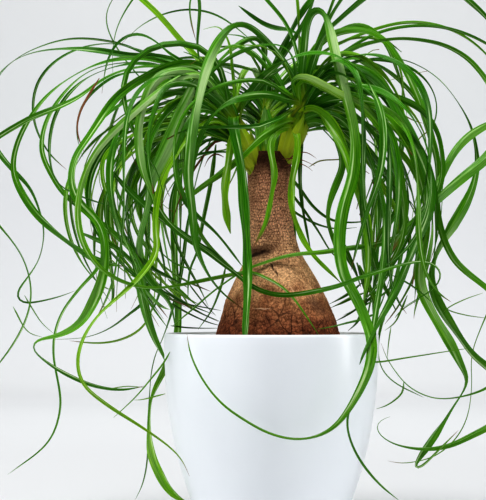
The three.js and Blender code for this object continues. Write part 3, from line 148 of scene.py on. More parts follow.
# Leaves one by one: head, place on its stem (0 foot, 1 top), width, width of the tip as a share,
# turns of the face away from the eye in degrees, spread along the leaf, and its points
LEAVES = [
  # high arch to the left, out of the frame and back with a folded tip
  [0, 0.9, 4.9, 0.12, [30, 20, 40, 50, 30, 20], [
    [-64, 371, -4], [-88, 380, 4], [-112, 381, 10], [-135, 385, 14], [-160, 387, 16],
    [-190, 384, 16], [-208, 376, 15], [-220, 362, 14], [-227, 340, 12], [-225, 318, 10],
    [-216, 302, 8], [-207, 291, 6], [-192, 275, 4], [-183, 252, 2], [-181, 240, 1], [-185, 218, 0],
    [-193, 205, 0], [-203, 190, 1], [-199, 184, 2], [-185, 185, 4], [-165, 190, 7], [-155, 194, 9],
  ]],
  [2, 0.9, 2, 0.3, [40, 20], [
    [-30, 366, 34], [-62, 374, 34], [-95, 380, 32], [-110, 387, 30], [-126, 392, 28],
    [-150, 395, 26], [-165, 394, 24], [-180, 390, 22], [-200, 381, 20], [-215, 368, 18],
    [-224, 350, 17],
  ]],
  [0, 0.95, 3.2, 0.25, [40, 30, 20], [
    [-68, 375, 8], [-96, 383, 16], [-125, 391, 22], [-150, 388, 25], [-172, 377, 26],
    [-186, 360, 26], [-190, 340, 25], [-187, 322, 24], [-176, 302, 22], [-163, 290, 20],
  ]],
  [0, 0.85, 4.1, 0.5, [40, 30, 10, 30], [
    [-70, 369, -20], [-100, 379, -24], [-125, 378, -28], [-140, 374, -30], [-160, 364, -33],
    [-180, 348, -36], [-196, 325, -38], [-204, 305, -40], [-205, 287, -42], [-190, 258, -46],
    [-172, 240, -50], [-150, 224, -54], [-137, 217, -56], [-118, 213, -58],
  ]],
  [0, 0.8, 4.1, 0.15, [60, 50, 45, 20, 0, 20], [
    [-75, 368, -2], [-110, 376, 4], [-135, 373, 8], [-150, 366, 10], [-168, 348, 12],
    [-180, 327, 13], [-183, 305, 12], [-176, 288, 10], [-166, 272, 6], [-150, 258, 0],
    [-140, 249, -6], [-132, 234, -14], [-137, 213, -22], [-152, 196, -28], [-166, 177, -34],
    [-172, 160, -38], [-173, 142, -42], [-168, 115, -46], [-167, 103, -48], [-172, 82, -50],
    [-180, 70, -52], [-209, 48, -54],
  ]],
  [0, 0.75, 3.3, 0.25, [50, 40, 20, 30], [
    [-70, 364, -10], [-100, 375, -8], [-130, 371, -8], [-152, 360, -8], [-169, 340, -10],
    [-176, 318, -12], [-176, 295, -16], [-170, 279, -20], [-155, 270, -24], [-125, 260, -28],
  ]],
  [0, 0.9, 4.4, 0.15, [40, 20, 10, 30, 40], [
    [-68, 367, -24], [-95, 373, -30], [-120, 369, -34], [-138, 360, -36], [-152, 349, -38],
    [-170, 340, -40], [-188, 333, -42], [-203, 325, -44], [-216, 317, -44], [-232, 304, -44],
    [-239, 285, -42], [-232, 264, -40], [-216, 245, -38], [-199, 222, -36], [-192, 203, -34],
    [-191, 187, -32], [-196, 168, -30], [-207, 148, -28], [-216, 136, -26], [-226, 122, -24],
  ]],
  [0, 0.7, 3.1, 0.2, [30, 20, 30], [
    [-50, 348, -20], [-76, 362, -28], [-100, 368, -34], [-122, 366, -38], [-139, 355, -40],
    [-150, 342, -42], [-155, 325, -43], [-154, 312, -43], [-150, 300, -42],
  ]],
  # broad arch, then inward, outward and a sharp fold
  [0, 1, 6.6, 0.1, [20, 10, 0, 10, 30, 20], [
    [-52, 371, -30], [-66, 375, -34], [-80, 373, -38], [-96, 366, -42], [-112, 357, -45],
    [-124, 347, -47], [-132, 337, -49], [-140, 325, -51], [-148, 313, -53], [-155, 303, -54],
    [-159, 290, -55], [-159, 276, -56], [-151, 261, -57], [-139, 250, -58], [-133, 236, -59],
    [-132, 220, -60], [-134, 204, -60], [-142, 184, -61], [-153, 167, -62], [-170, 158, -62],
    [-188, 154, -62], [-191, 149, -62], [-180, 138, -62], [-160, 126, -61], [-140, 118, -60],
    [-118, 115, -58], [-101, 118, -56],
  ]],
  # long light leaf that swings back in front of the trunk
  [0, 1, 4.8, 0.12, [10, 0, 10, 20, 10, 30], [
    [-56, 365, -34], [-73, 363, -42], [-92, 350, -48], [-115, 330, -54], [-135, 310, -58],
    [-147, 290, -62], [-154, 262, -66], [-150, 233, -69], [-135, 211, -70], [-113, 199, -66],
    [-95, 196, -60], [-80, 197, -52], [-64, 200, -44], [-49, 203, -36], [-34, 206, -31],
    [-22, 208, -31], [-13, 208, -33], [-5, 204, -37], [7, 198, -42], [19, 186, -47], [28, 173, -50],
    [38, 158, -53],
  ]],
  [0, 0.9, 7.4, 0.2, [20, 0, 0, 20], [
    [-57, 366, -30], [-73, 369, -36], [-88, 365, -41], [-97, 355, -44], [-103, 338, -48],
    [-106, 321, -51], [-105, 305, -53], [-102, 289, -55], [-96, 274, -56], [-92, 262, -57],
    [-94, 253, -57],
  ]],
  [0, 0.85, 9.2, 0.15, [10, 0, 10, 30, 60, 60], [
    [-52, 362, -27], [-60, 361, -32], [-66, 349, -36], [-72, 336, -39], [-78, 321, -42],
    [-84, 306, -44], [-90, 293, -45], [-95, 281, -45], [-97, 268, -44], [-99, 256, -42],
    [-103, 242, -38], [-105, 226, -30], [-104, 209, -20], [-103, 194, -10], [-99, 175, 4],
    [-93, 157, 18], [-86, 143, 32], [-80, 130, 46],
  ]],
  # bright leaf low on the left that passes before the pot's left edge
  [0, 0.5, 4.9, 0.12, [20, 30, 10, 20, 50, 50], [
    [-42, 330, -22], [-60, 322, -34], [-76, 303, -44], [-88, 278, -52], [-92, 255, -58],
    [-92, 240, -61], [-91, 226, -63], [-102, 208, -65], [-118, 192, -67], [-137, 175, -68],
    [-150, 155, -69], [-154, 135, -70], [-149, 119, -71], [-130, 103, -71], [-105, 87, -70],
    [-82, 71, -68], [-71, 60, -66], [-65, 47, -64],
  ]],
  [2, 0.7, 4.1, 0.2, [30, 20, 50, 30], [
    [-26, 358, 36], [-52, 358, 44], [-76, 338, 50], [-90, 306, 54], [-97, 270, 56], [-98, 240, 55],
    [-96, 212, 52], [-100, 186, 48], [-112, 176, 46], [-128, 164, 44], [-146, 157, 42],
    [-172, 155, 42],
  ]],
  [2, 0.6, 3.7, 0.25, [30, 20, 40], [
    [-26, 350, 40], [-50, 346, 52], [-70, 322, 62], [-84, 285, 68], [-90, 245, 70], [-92, 205, 68],
    [-94, 182, 64], [-99, 169, 60], [-108, 160, 56], [-122, 154, 54], [-138, 152, 52],
    [-160, 154, 50],
  ]],
  # from the right head up, over the left head and down in front
  [1, 1, 9, 0.2, [20, 10, 0, 0, 20, 40], [
    [20, 360, -12], [8, 379, -19], [-5, 394, -26], [-16, 404, -32], [-25, 407, -37],
    [-33, 404, -41], [-40, 396, -44], [-47, 383, -47], [-53, 366, -50], [-57, 349, -52],
    [-62, 325, -54], [-65, 303, -55], [-66, 286, -55], [-64, 267, -54], [-62, 249, -52],
    [-60, 231, -50], [-54, 214, -47], [-45, 199, -44], [-33, 187, -42], [-22, 179, -42],
  ]],
  # straight leaf that hangs before the trunk and ends inside the rim
  [0, 0.95, 8.4, 0.7, [0, 0, 0, 10], [
    [-30, 334, -24], [-30, 326, -32], [-28, 312, -37], [-24, 290, -38], [-22, 266, -38],
    [-20, 242, -39], [-19, 218, -43], [-19, 194, -49], [-20, 178, -54], [-21, 160, -60],
    [-21, 151, -62],
  ]],
  [0, 0.5, 7, 0.85, [0, 0], [
    [-29, 319, -22], [-33, 305, -27], [-35, 290, -29], [-37, 274, -29], [-36, 258, -28],
    [-34, 244, -27], [-32.5, 239, -27],
  ]],
  [1, 0.5, 5.6, 0.25, [10, 10, 30], [
    [12, 324, -16], [4, 319, -23], [-1, 310, -27], [1, 297, -28], [3, 285, -27], [1, 274, -26],
    [-1, 262, -26], [-5, 246, -27], [-11, 234, -29], [-16, 225, -31],
  ]],
  [1, 0.95, 5.8, 0.3, [30, 20, 20], [
    [14, 345, -18], [-1, 350, -27], [-17, 349, -34], [-33, 344, -38], [-45, 335, -41],
    [-53, 324, -43], [-58, 312, -44], [-62, 297, -44], [-64, 280, -42], [-62, 264, -40],
  ]],
  [1, 0.6, 6.6, 0.3, [20, 10, 10], [
    [14, 330, -18], [2, 323, -24], [-7, 316, -26], [-15, 308, -26], [-23, 300, -25],
    [-31, 294, -24], [-41, 286, -26], [-53, 278, -30], [-64, 269, -34], [-74, 258, -36],
  ]],
  [0, 0.7, 5.4, 0.4, [10, 10, 20], [
    [-57, 338, -27], [-70, 322, -32], [-76, 300, -34], [-75, 282, -34], [-69, 266, -33],
    [-60, 254, -31], [-48, 244, -29], [-38, 233, -28], [-29, 221, -28], [-23, 213, -29],
  ]],
  # down the left, across the trunk and out to a hooked tip on the right
  [0, 0.85, 4.8, 0.08, [20, 10, 0, 10, 20, 30], [
    [-68, 346, -34], [-86, 332, -42], [-97, 312, -48], [-99, 290, -51], [-95, 271, -51],
    [-87, 254, -50], [-74, 240, -47], [-61, 231, -43], [-50, 224, -39], [-39, 215, -36],
    [-29, 208, -36], [-20, 200, -39], [-7, 193, -47], [7, 190, -53], [22, 191, -60], [39, 194, -68],
    [55, 198, -76], [70, 204, -79], [86, 209, -78], [102, 214, -75], [118, 217, -70],
    [129, 215, -66], [135, 209, -63], [134, 201, -60], [126, 193, -58], [114, 186, -56],
    [102, 179, -54],
  ]],
  [0, 0.6, 4.5, 0.25, [20, 20, 30], [
    [-46, 330, -8], [-60, 334, -6], [-77, 334, -4], [-96, 331, -2], [-112, 327, 0], [-128, 318, 2],
    [-137, 308, 3], [-142, 293, 4], [-144, 274, 4], [-140, 256, 3],
  ]],
  [0, 0.45, 4.5, 0.25, [20, 20, 30], [
    [-42, 322, -6], [-58, 325, -4], [-76, 325, -4], [-96, 321, -6], [-112, 317, -8],
    [-124, 311, -10], [-132, 303, -12], [-135, 293, -13], [-134, 281, -14], [-130, 268, -15],
    [-120, 252, -16], [-112, 232, -16],
  ]],
  [0, 0.4, 3.9, 0.25, [20, 30, 20], [
    [-44, 318, -14], [-64, 325, -20], [-88, 324, -24], [-104, 316, -27], [-116, 305, -29],
    [-126, 286, -31], [-132, 266, -32], [-131, 246, -33], [-122, 228, -33],
  ]],
  # up and to the left above the frame
  [0, 1, 4.5, 0.2, [40, 20, 30], [
    [-52, 371, -8], [-64, 385, -6], [-72, 393, -4], [-82, 405, -2], [-92, 416, 0], [-104, 427, 2],
    [-124, 443, 5], [-148, 452, 8], [-175, 449, 10], [-205, 436, 12], [-228, 414, 13],
    [-240, 384, 13], [-243, 350, 12],
  ]],
  [0, 0.95, 2.6, 0.25, [30, 10, 40], [
    [-54, 370, -22], [-59, 385, -24], [-58, 405, -25], [-57, 424, -26], [-63, 442, -28],
    [-78, 452, -29], [-95, 446, -30], [-110, 427, -30], [-122, 406, -30], [-126, 388, -30],
    [-126, 362, -30],
  ]],
  [2, 0.8, 1.6, 0.3, [30, 30], [
    [-28, 354, 40], [-60, 348, 44], [-86, 346, 46], [-103, 362, 48], [-121, 384, 50],
    [-130, 401, 50], [-132, 413, 50], [-127, 426, 50], [-117, 437, 50],
  ]],
  [2, 1, 1.8, 0.3, [30, 20, 30], [
    [0, 368, 30], [-8, 385, 28], [-20, 397, 26], [-31, 406, 24], [-42, 413, 22], [-54, 417, 20],
    [-69, 418, 18], [-84, 415, 16], [-96, 410, 14], [-108, 402, 12], [-121, 389, 10],
  ]],
  [0, 0.9, 3, 0.25, [30, 20, 20], [
    [-60, 369, -30], [-80, 382, -36], [-90, 391, -40], [-99, 397, -43], [-108, 399, -45],
    [-117, 396, -47], [-124, 390, -48], [-131, 376, -49], [-135, 351, -50],
  ]],
  # short dark one with a blunt tip, top middle
  [1, 0.9, 4.5, 0.7, [40, 20, 0], [
    [25, 362, 2], [26, 380, 6], [24, 396, 9], [16, 402, 11], [3, 403, 13], [-7, 407, 14],
    [-17, 414, 15], [-26, 421, 15],
  ]],
  [1, 0.95, 3, 0.3, [20, 20, 20], [
    [24, 364, -2], [21, 381, 0], [17, 395, 2], [11, 408, 4], [-2, 424, 6], [-19, 441, 8],
    [-42, 449, 8], [-58, 441, 8], [-65, 425, 7], [-64, 408, 6], [-60, 393, 5],
  ]],
  [1, 1, 3.6, 0.25, [40, 30, 20], [
    [20, 362, -16], [18, 378, -22], [11, 388, -26], [-4, 390, -29], [-20, 386, -32],
    [-36, 378, -35], [-48, 367, -38], [-57, 352, -41], [-61, 335, -43],
  ]],
  [2, 1, 4.9, 0.3, [30, 10, 10], [
    [-8, 364, 26], [-5, 380, 19], [-6, 391, 12], [-12, 396, 6], [-25, 391, 0], [-38, 380, -3],
    [-48, 369, -4], [-57, 352, -2], [-63, 335, 0],
  ]],
  [1, 1, 3.4, 0.3, [20, 20], [
    [24, 365, 2], [23, 385, 4], [22, 405, 5], [21, 425, 5], [17, 441, 4], [9, 452, 2],
  ]],
  [2, 0.95, 5.7, 0.25, [10, 20], [
    [-2, 362, 26], [4, 376, 22], [11, 390, 19], [20, 408, 16], [31, 425, 14], [46, 441, 12],
    [64, 449, 10], [82, 450, 8],
  ]],
  [1, 0.9, 5.3, 0.25, [20, 20], [
    [31, 364, -4], [37, 384, -4], [44, 406, -4], [55, 425, -4], [68, 441, -4], [86, 452, -4],
  ]],
  [1, 0.95, 5.7, 0.2, [10, 20, 30, 30], [
    [30, 366, -8], [36, 386, -10], [43, 400, -11], [53, 409, -12], [63, 418, -13], [75, 428, -14],
    [95, 443, -15], [118, 449, -16], [140, 440, -16], [158, 425, -16], [171, 413, -15],
    [186, 392, -14], [195, 365, -13], [196, 336, -12],
  ]],
  # the longest: an arch at the front, down past the rim and up across the pot
  [1, 1, 9.6, 0.12, [20, 0, 0, 0, 60, 0, 10, 20], [
    [24, 361, -14], [26, 385, -20], [28, 405, -25], [32, 416, -29], [38, 419, -33], [43, 414, -37],
    [47, 401, -41], [51, 384, -45], [56, 364, -50], [61, 345, -54], [65, 329, -57], [67, 313, -60],
    [67, 300, -61], [64, 280, -63], [58, 262, -65], [55, 246, -66], [54, 230, -68], [55, 218, -70],
    [58, 206, -73], [64, 194, -77], [70, 183, -81], [75, 170, -86], [79, 158, -91], [80, 146, -95],
    [77, 131, -99], [70, 115, -102], [62, 101, -103], [54, 90, -104], [46, 83, -105],
    [35, 78, -106], [23, 76, -106], [11, 77, -106], [-5, 82, -106], [-21, 91, -105],
    [-37, 102, -104], [-49, 115, -102], [-59, 131, -100], [-65, 146, -98], [-67, 159, -96],
  ]],
  [1, 0.8, 7.4, 0.2, [0, 0, 10, 10, 30], [
    [18, 352, -18], [16, 361, -25], [24, 365, -31], [39, 359, -37], [55, 350, -43], [70, 342, -48],
    [79, 334, -51], [86, 325, -53], [93, 313, -55], [98, 301, -56], [102, 289, -56],
    [105, 274, -55], [107, 258, -54], [106, 242, -52], [102, 228, -50], [95, 216, -48],
    [86, 205, -46],
  ]],
  [1, 0.85, 8.5, 0.45, [20, 10, 0, 0, 10, 20], [
    [34, 358, -8], [46, 367, -10], [58, 370, -14], [70, 368, -18], [82, 361, -23], [94, 348, -29],
    [102, 334, -34], [110, 320, -39], [118, 304, -44], [124, 289, -49], [127, 276, -53],
    [127, 265, -56], [124, 252, -60], [118, 238, -64], [112, 225, -68], [106, 211, -72],
    [101, 198, -76], [95, 186, -79], [88, 173, -83], [81, 161, -87], [76, 149, -90], [72, 141, -92],
    [70, 135, -93],
  ]],
  [1, 0.95, 5.7, 0.1, [20, 10, 0, 10, 20, 30, 50], [
    [27, 366, 0], [34, 386, 2], [46, 397, 2], [58, 401, 2], [70, 402, 2], [82, 399, 1],
    [91, 393, 0], [98, 384, 0], [103, 376, -1], [109, 365, -2], [115, 352, -3], [121, 337, -4],
    [125, 324, -5], [129, 311, -6], [132, 300, -6], [133, 288, -6], [133, 275, -6], [132, 262, -6],
    [134, 246, -6], [139, 230, -6], [147, 216, -6], [158, 206, -6], [172, 195, -6], [188, 178, -6],
    [197, 157, -6], [192, 135, -7], [172, 117, -10], [157, 111, -12], [142, 108, -14],
    [130, 108, -15], [118, 112, -16], [107, 119, -17], [98, 130, -18], [92, 139, -18],
    [87, 152, -18],
  ]],
  [1, 0.85, 5.2, 0.15, [30, 20, 30, 10, 10], [
    [34, 360, -12], [44, 373, -14], [55, 381, -14], [70, 389, -14], [86, 393, -13], [102, 395, -12],
    [118, 394, -11], [134, 391, -10], [146, 386, -9], [158, 378, -8], [166, 369, -8],
    [174, 358, -8], [183, 340, -9], [184, 320, -11], [172, 300, -14], [158, 288, -18],
    [146, 278, -22], [134, 267, -26], [122, 256, -30], [111, 246, -34], [101, 234, -38],
    [94, 222, -42],
  ]],
  [1, 0.7, 5.7, 0.25, [60, 60, 20, 10, 20], [
    [36, 346, -8], [50, 351, -8], [64, 352, -8], [78, 352, -9], [92, 350, -10], [104, 346, -11],
    [114, 342, -12], [122, 336, -13], [129, 327, -14], [134, 316, -15], [136, 304, -16],
    [137, 289, -18], [134, 275, -20], [128, 262, -23], [123, 247, -26], [118, 230, -30],
    [114, 212, -34], [112, 196, -37],
  ]],
  [1, 0.75, 2.5, 0.35, [30, 30], [
    [36, 360, 4], [58, 374, 8], [78, 378, 10], [98, 376, 11], [112, 371, 12], [124, 361, 12],
    [131, 348, 12], [132, 336, 12], [129, 325, 12], [117, 314, 12],
  ]],
  # edge-on arch on the right that turns its face, leaves the frame low and hooks back
  [1, 0.8, 6.8, 0.08, [75, 80, 60, 20, 10, 30, 50, 20], [
    [38, 360, 8], [58, 372, 14], [80, 379, 18], [102, 379, 20], [115, 375, 20], [130, 366, 19],
    [142, 354, 18], [152, 339, 16], [159, 325, 14], [163, 309, 12], [164, 293, 10], [161, 278, 8],
    [155, 264, 6], [147, 250, 4], [139, 237, 2], [132, 225, 0], [128, 213, -2], [127, 202, -3],
    [130, 190, -4], [136, 178, -5], [144, 166, -6], [152, 154, -8], [160, 143, -10],
    [172, 133, -13], [187, 121, -17], [192, 105, -21], [184, 93, -24], [171, 85, -27],
    [157, 78, -29], [142, 71, -31], [126, 68, -32], [110, 69, -33], [95, 73, -34], [85, 80, -35],
    [82, 86, -36], [85, 91, -37], [94, 94, -38],
  ]],
  # off the right of the frame, back down to the left and across the trunk
  [1, 0.9, 5.7, 0.2, [40, 30, 40, 10, 10, 20, 10, 10], [
    [36, 364, 6], [58, 384, 12], [90, 401, 16], [128, 405, 18], [162, 396, 18], [190, 376, 17],
    [199, 352, 15], [190, 334, 11], [171, 325, 5], [158, 317, 0], [148, 307, -5], [141, 296, -10],
    [136, 285, -14], [130, 274, -18], [124, 263, -22], [116, 252, -26], [105, 240, -30],
    [91, 232, -33], [75, 229, -35], [58, 227, -36], [39, 224, -36], [23, 223, -34], [7, 220, -32],
    [-5, 216, -31], [-17, 212, -31], [-28, 206, -31], [-38, 199, -30], [-50, 190, -30],
    [-61, 180, -29], [-71, 172, -28], [-79, 165, -27],
  ]],
  [1, 0.6, 6.2, 0.2, [30, 20, 10, 20, 10, 50, 10, 30], [
    [38, 344, -14], [60, 350, -20], [84, 341, -25], [104, 320, -29], [117, 291, -31],
    [124, 264, -31], [124, 240, -30], [119, 218, -29], [118, 200, -28], [123, 185, -28],
    [131, 170, -28], [143, 150, -28], [151, 134, -28], [156, 123, -28], [152, 113, -28],
    [146, 104, -28], [138, 91, -29], [130, 79, -29], [122, 68, -30], [115, 58, -30], [112, 53, -31],
    [116, 52, -32], [126, 61, -33], [138, 73, -34], [148, 83, -35],
  ]],
  [2, 0.9, 2.6, 0.2, [30, 40, 40], [
    [24, 372, 36], [66, 396, 40], [112, 408, 42], [152, 398, 42], [184, 366, 40], [197, 318, 38],
    [197, 262, 34], [186, 208, 30], [168, 168, 27], [159, 142, 25], [159, 119, 23], [156, 96, 20],
    [150, 82, 18], [142, 72, 16], [130, 63, 14], [118, 59, 12], [102, 57, 10], [92, 59, 8],
  ]],
  [2, 0.6, 4.1, 0.25, [30, 30, 20, 40], [
    [20, 354, 44], [48, 356, 54], [76, 336, 62], [94, 304, 66], [102, 266, 66], [104, 230, 62],
    [98, 200, 56], [90, 176, 48], [85, 155, 40], [86, 136, 34], [91, 127, 28], [99, 120, 22],
    [121, 109, 14],
  ]],
  [1, 0.5, 4.9, 0.2, [20, 20, 10, 40, 20, 10], [
    [32, 334, -18], [50, 334, -28], [68, 318, -38], [82, 290, -48], [90, 258, -58], [90, 226, -68],
    [86, 196, -76], [82, 170, -84], [80, 150, -90], [76, 130, -95], [68, 113, -97], [61, 98, -97],
    [60, 86, -97], [62, 77, -96], [68, 63, -95], [77, 50, -94], [88, 38, -93], [102, 27, -92],
  ]],
  [1, 0.7, 9.6, 0.25, [0, 0, 0, 10], [
    [32, 339, -18], [40, 336, -25], [48, 326, -31], [55, 313, -36], [62, 296, -41], [69, 277, -45],
    [74, 258, -48], [77, 238, -50], [77, 218, -52], [76, 202, -54], [73, 184, -56],
  ]],
  [1, 0.4, 6.6, 0.4, [10, 10, 20], [
    [34, 330, -12], [46, 325, -16], [55, 309, -19], [57, 293, -20], [51, 277, -20], [46, 262, -20],
    [45, 248, -19], [49, 236, -18], [52, 222, -17],
  ]],
  [1, 0.3, 5.8, 0.3, [10, 10, 10], [
    [20, 322, -14], [21, 311, -19], [20, 297, -21], [17, 284, -21], [16, 272, -21], [16, 260, -22],
    [20, 246, -23], [27, 231, -25], [35, 220, -28], [45, 210, -32], [57, 198, -36],
  ]],
  [1, 0.65, 4.9, 0.25, [10, 20, 20], [
    [38, 342, -14], [52, 342, -20], [66, 334, -25], [78, 323, -29], [86, 312, -31], [88, 301, -32],
    [86, 288, -33], [86, 272, -33], [87, 257, -33], [86, 242, -34], [82, 226, -35],
  ]],
  [1, 0.2, 3.5, 0.3, [10, 10], [
    [24, 316, 6], [23, 300, 10], [23, 279, 11], [25, 258, 11], [28.5, 240, 11], [32, 222, 11],
  ]],
  [1, 0.85, 4.1, 0.3, [30, 20, 20], [
    [34, 364, -12], [44, 378, -16], [55, 383, -19], [67, 382, -21], [79, 376, -23], [90, 366, -25],
    [98, 355, -27], [103, 344, -28], [106, 332, -29], [108, 318, -30],
  ]],
  [1, 0.8, 4.1, 0.3, [30, 20, 20], [
    [38, 361, -2], [50, 370, 0], [61, 373, 1], [72, 372, 1], [83, 366, 0], [92, 356, -1],
    [100, 344, -3], [106, 331, -5], [111, 315, -7], [114, 298, -9], [113, 282, -11],
  ]],
  [2, 0.9, 4.1, 0.3, [30, 20, 20], [
    [18, 370, 28], [38, 390, 25], [56, 402, 23], [70, 406, 22], [81, 402, 21], [91, 391, 20],
    [98, 376, 20], [103, 361, 20], [107, 346, 20], [108, 332, 20],
  ]],
  [1, 0.9, 2.4, 0.4, [30, 20], [
    [30, 372, 12], [50, 390, 16], [76, 396, 18], [92, 391, 18], [101, 376, 18], [105, 358, 18],
    [104, 343, 18], [101, 329, 18], [94, 316, 18],
  ]],
  # low on the left, from behind the pot
  [2, 0.5, 6.6, 0.15, [30, 20, 40, 70, 10, 10, 0], [
    [-24, 348, 50], [-46, 340, 64], [-66, 312, 80], [-76, 270, 92], [-77, 220, 96], [-74, 178, 92],
    [-76, 150, 76], [-83, 134, 56], [-91, 119, 38], [-96, 106, 26], [-97, 91, 18], [-97, 76, 12],
    [-95, 63, 8], [-90, 51, 4], [-83, 38, 0], [-75, 30, -3], [-64, 25, -5],
  ]],
  [2, 0.4, 3.4, 0.2, [30, 40, 60, 30], [
    [-20, 340, 56], [-38, 330, 72], [-56, 296, 90], [-66, 250, 102], [-72, 206, 104],
    [-80, 174, 94], [-87, 155, 78], [-92, 144, 66], [-96, 126, 52], [-97, 106, 42], [-98, 84, 34],
    [-98, 62, 28], [-102, 40, 24], [-108, 28, 22],
  ]],
  # inner leaves on the right, curving in towards the rim
  [1, 0.5, 4.9, 0.25, [30, 10, 30], [
    [52, 335, -10], [69, 318, -9], [79, 298, -8], [86, 279, -8], [95, 266, -8], [101, 251, -8],
    [102, 236, -7], [98, 223, -6], [90, 212, -5],
  ]],
  [2, 0.8, 4.5, 0.25, [30, 20, 10, 20], [
    [26, 362, 36], [60, 367, 38], [88, 349, 38], [102, 324, 37], [104, 306, 36], [98, 293, 34],
    [89, 282, 32], [83, 267, 30], [79, 248, 28], [79, 230, 26], [84, 212, 24], [91, 197, 22],
    [98, 184, 20],
  ]],
  [2, 0.7, 3.7, 0.25, [30, 40, 20], [
    [28, 352, 46], [56, 349, 48], [80, 331, 49], [96, 310, 49], [106, 298, 48], [115, 286, 46],
    [121, 272, 44], [122, 256, 42], [116, 239, 40], [105, 224, 38], [93, 213, 36],
  ]],
  [1, 0.4, 5.3, 0.25, [20, 20, 10], [
    [40, 331, 4], [64, 320, 8], [84, 298, 10], [97, 278, 10], [101, 263, 9], [96, 250, 8],
    [88, 239, 8], [83, 225, 8], [80, 208, 8], [76, 190, 8], [70, 176, 8],
  ]],
  [2, 0.5, 4.9, 0.25, [30, 10, 20], [
    [24, 340, 54], [52, 331, 60], [74, 311, 62], [87, 293, 62], [96, 280, 60], [102, 265, 58],
    [104, 247, 55], [101, 228, 52], [94, 208, 48], [82, 191, 44], [66, 179, 40],
  ]],
  [2, 0.6, 3, 0.3, [20, 40], [
    [26, 347, 60], [58, 341, 68], [80, 316, 72], [90, 290, 74], [94, 262, 74], [93, 240, 73],
    [91, 220, 72], [87, 203, 70],
  ]],
  [1, 0.5, 4.9, 0.25, [20, 20, 10], [
    [44, 340, 8], [80, 324, 14], [109, 297, 18], [122, 264, 18], [121, 232, 16], [114, 206, 14],
    [106, 190, 12], [98, 177, 10], [90, 167, 8],
  ]],
  [2, 0.4, 3.9, 0.25, [30, 20, 10], [
    [24, 332, 66], [60, 318, 78], [92, 286, 84], [109, 248, 82], [107, 215, 74], [94, 195, 64],
    [76, 183, 52], [57, 174, 40],
  ]],
  # inner leaves on the left, curving in the same way
  [0, 0.5, 4.9, 0.25, [20, 10, 20], [
    [-60, 346, 6], [-96, 339, 12], [-128, 313, 15], [-145, 279, 15], [-141, 245, 12],
    [-122, 218, 8], [-101, 200, 5], [-82, 188, 3], [-63, 180, 2],
  ]],
  [2, 0.7, 4.5, 0.25, [30, 20, 10], [
    [-36, 354, 40], [-78, 351, 44], [-116, 331, 46], [-140, 302, 46], [-148, 274, 44],
    [-138, 246, 42], [-120, 222, 38], [-105, 203, 34], [-93, 186, 30], [-82, 172, 28],
  ]],
  [2, 0.5, 4.5, 0.25, [20, 20, 10], [
    [-30, 345, 54], [-66, 340, 60], [-100, 320, 62], [-121, 291, 62], [-127, 261, 60],
    [-115, 233, 56], [-96, 209, 50], [-76, 193, 44], [-56, 182, 38],
  ]],
  [0, 0.3, 4.1, 0.25, [20, 10, 20], [
    [-44, 323, 6], [-70, 314, 12], [-92, 291, 15], [-104, 262, 16], [-99, 235, 15], [-86, 212, 13],
    [-72, 193, 10], [-63, 177, 8],
  ]],
  [2, 0.3, 4.1, 0.25, [20, 10, 20], [
    [-24, 333, 46], [-50, 320, 52], [-71, 292, 54], [-80, 263, 54], [-77, 236, 52], [-67, 214, 50],
    [-57, 196, 48], [-50, 181, 46],
  ]],
  [0, 0.35, 4.5, 0.25, [20, 20, 10], [
    [-46, 322, 14], [-78, 315, 22], [-102, 292, 26], [-112, 266, 27], [-107, 240, 26],
    [-90, 217, 24], [-69, 202, 22], [-48, 193, 20],
  ]],
  [2, 0.6, 3.4, 0.25, [30, 20, 20], [
    [-30, 347, 62], [-70, 342, 72], [-103, 302, 78], [-115, 258, 76], [-108, 225, 70],
    [-91, 200, 62], [-68, 184, 52], [-46, 175, 44],
  ]],
  [2, 0.45, 3.4, 0.25, [30, 20, 20], [
    [-26, 337, 66], [-58, 328, 80], [-87, 297, 90], [-99, 252, 92], [-94, 215, 84], [-78, 192, 72],
    [-58, 177, 58], [-42, 169, 50],
  ]],
  [0, 1, 4.9, 0.3, [20, 10], [
    [-24, 346, -16], [-12, 358, -18], [3, 368, -17], [17, 376, -14],
  ]],
]

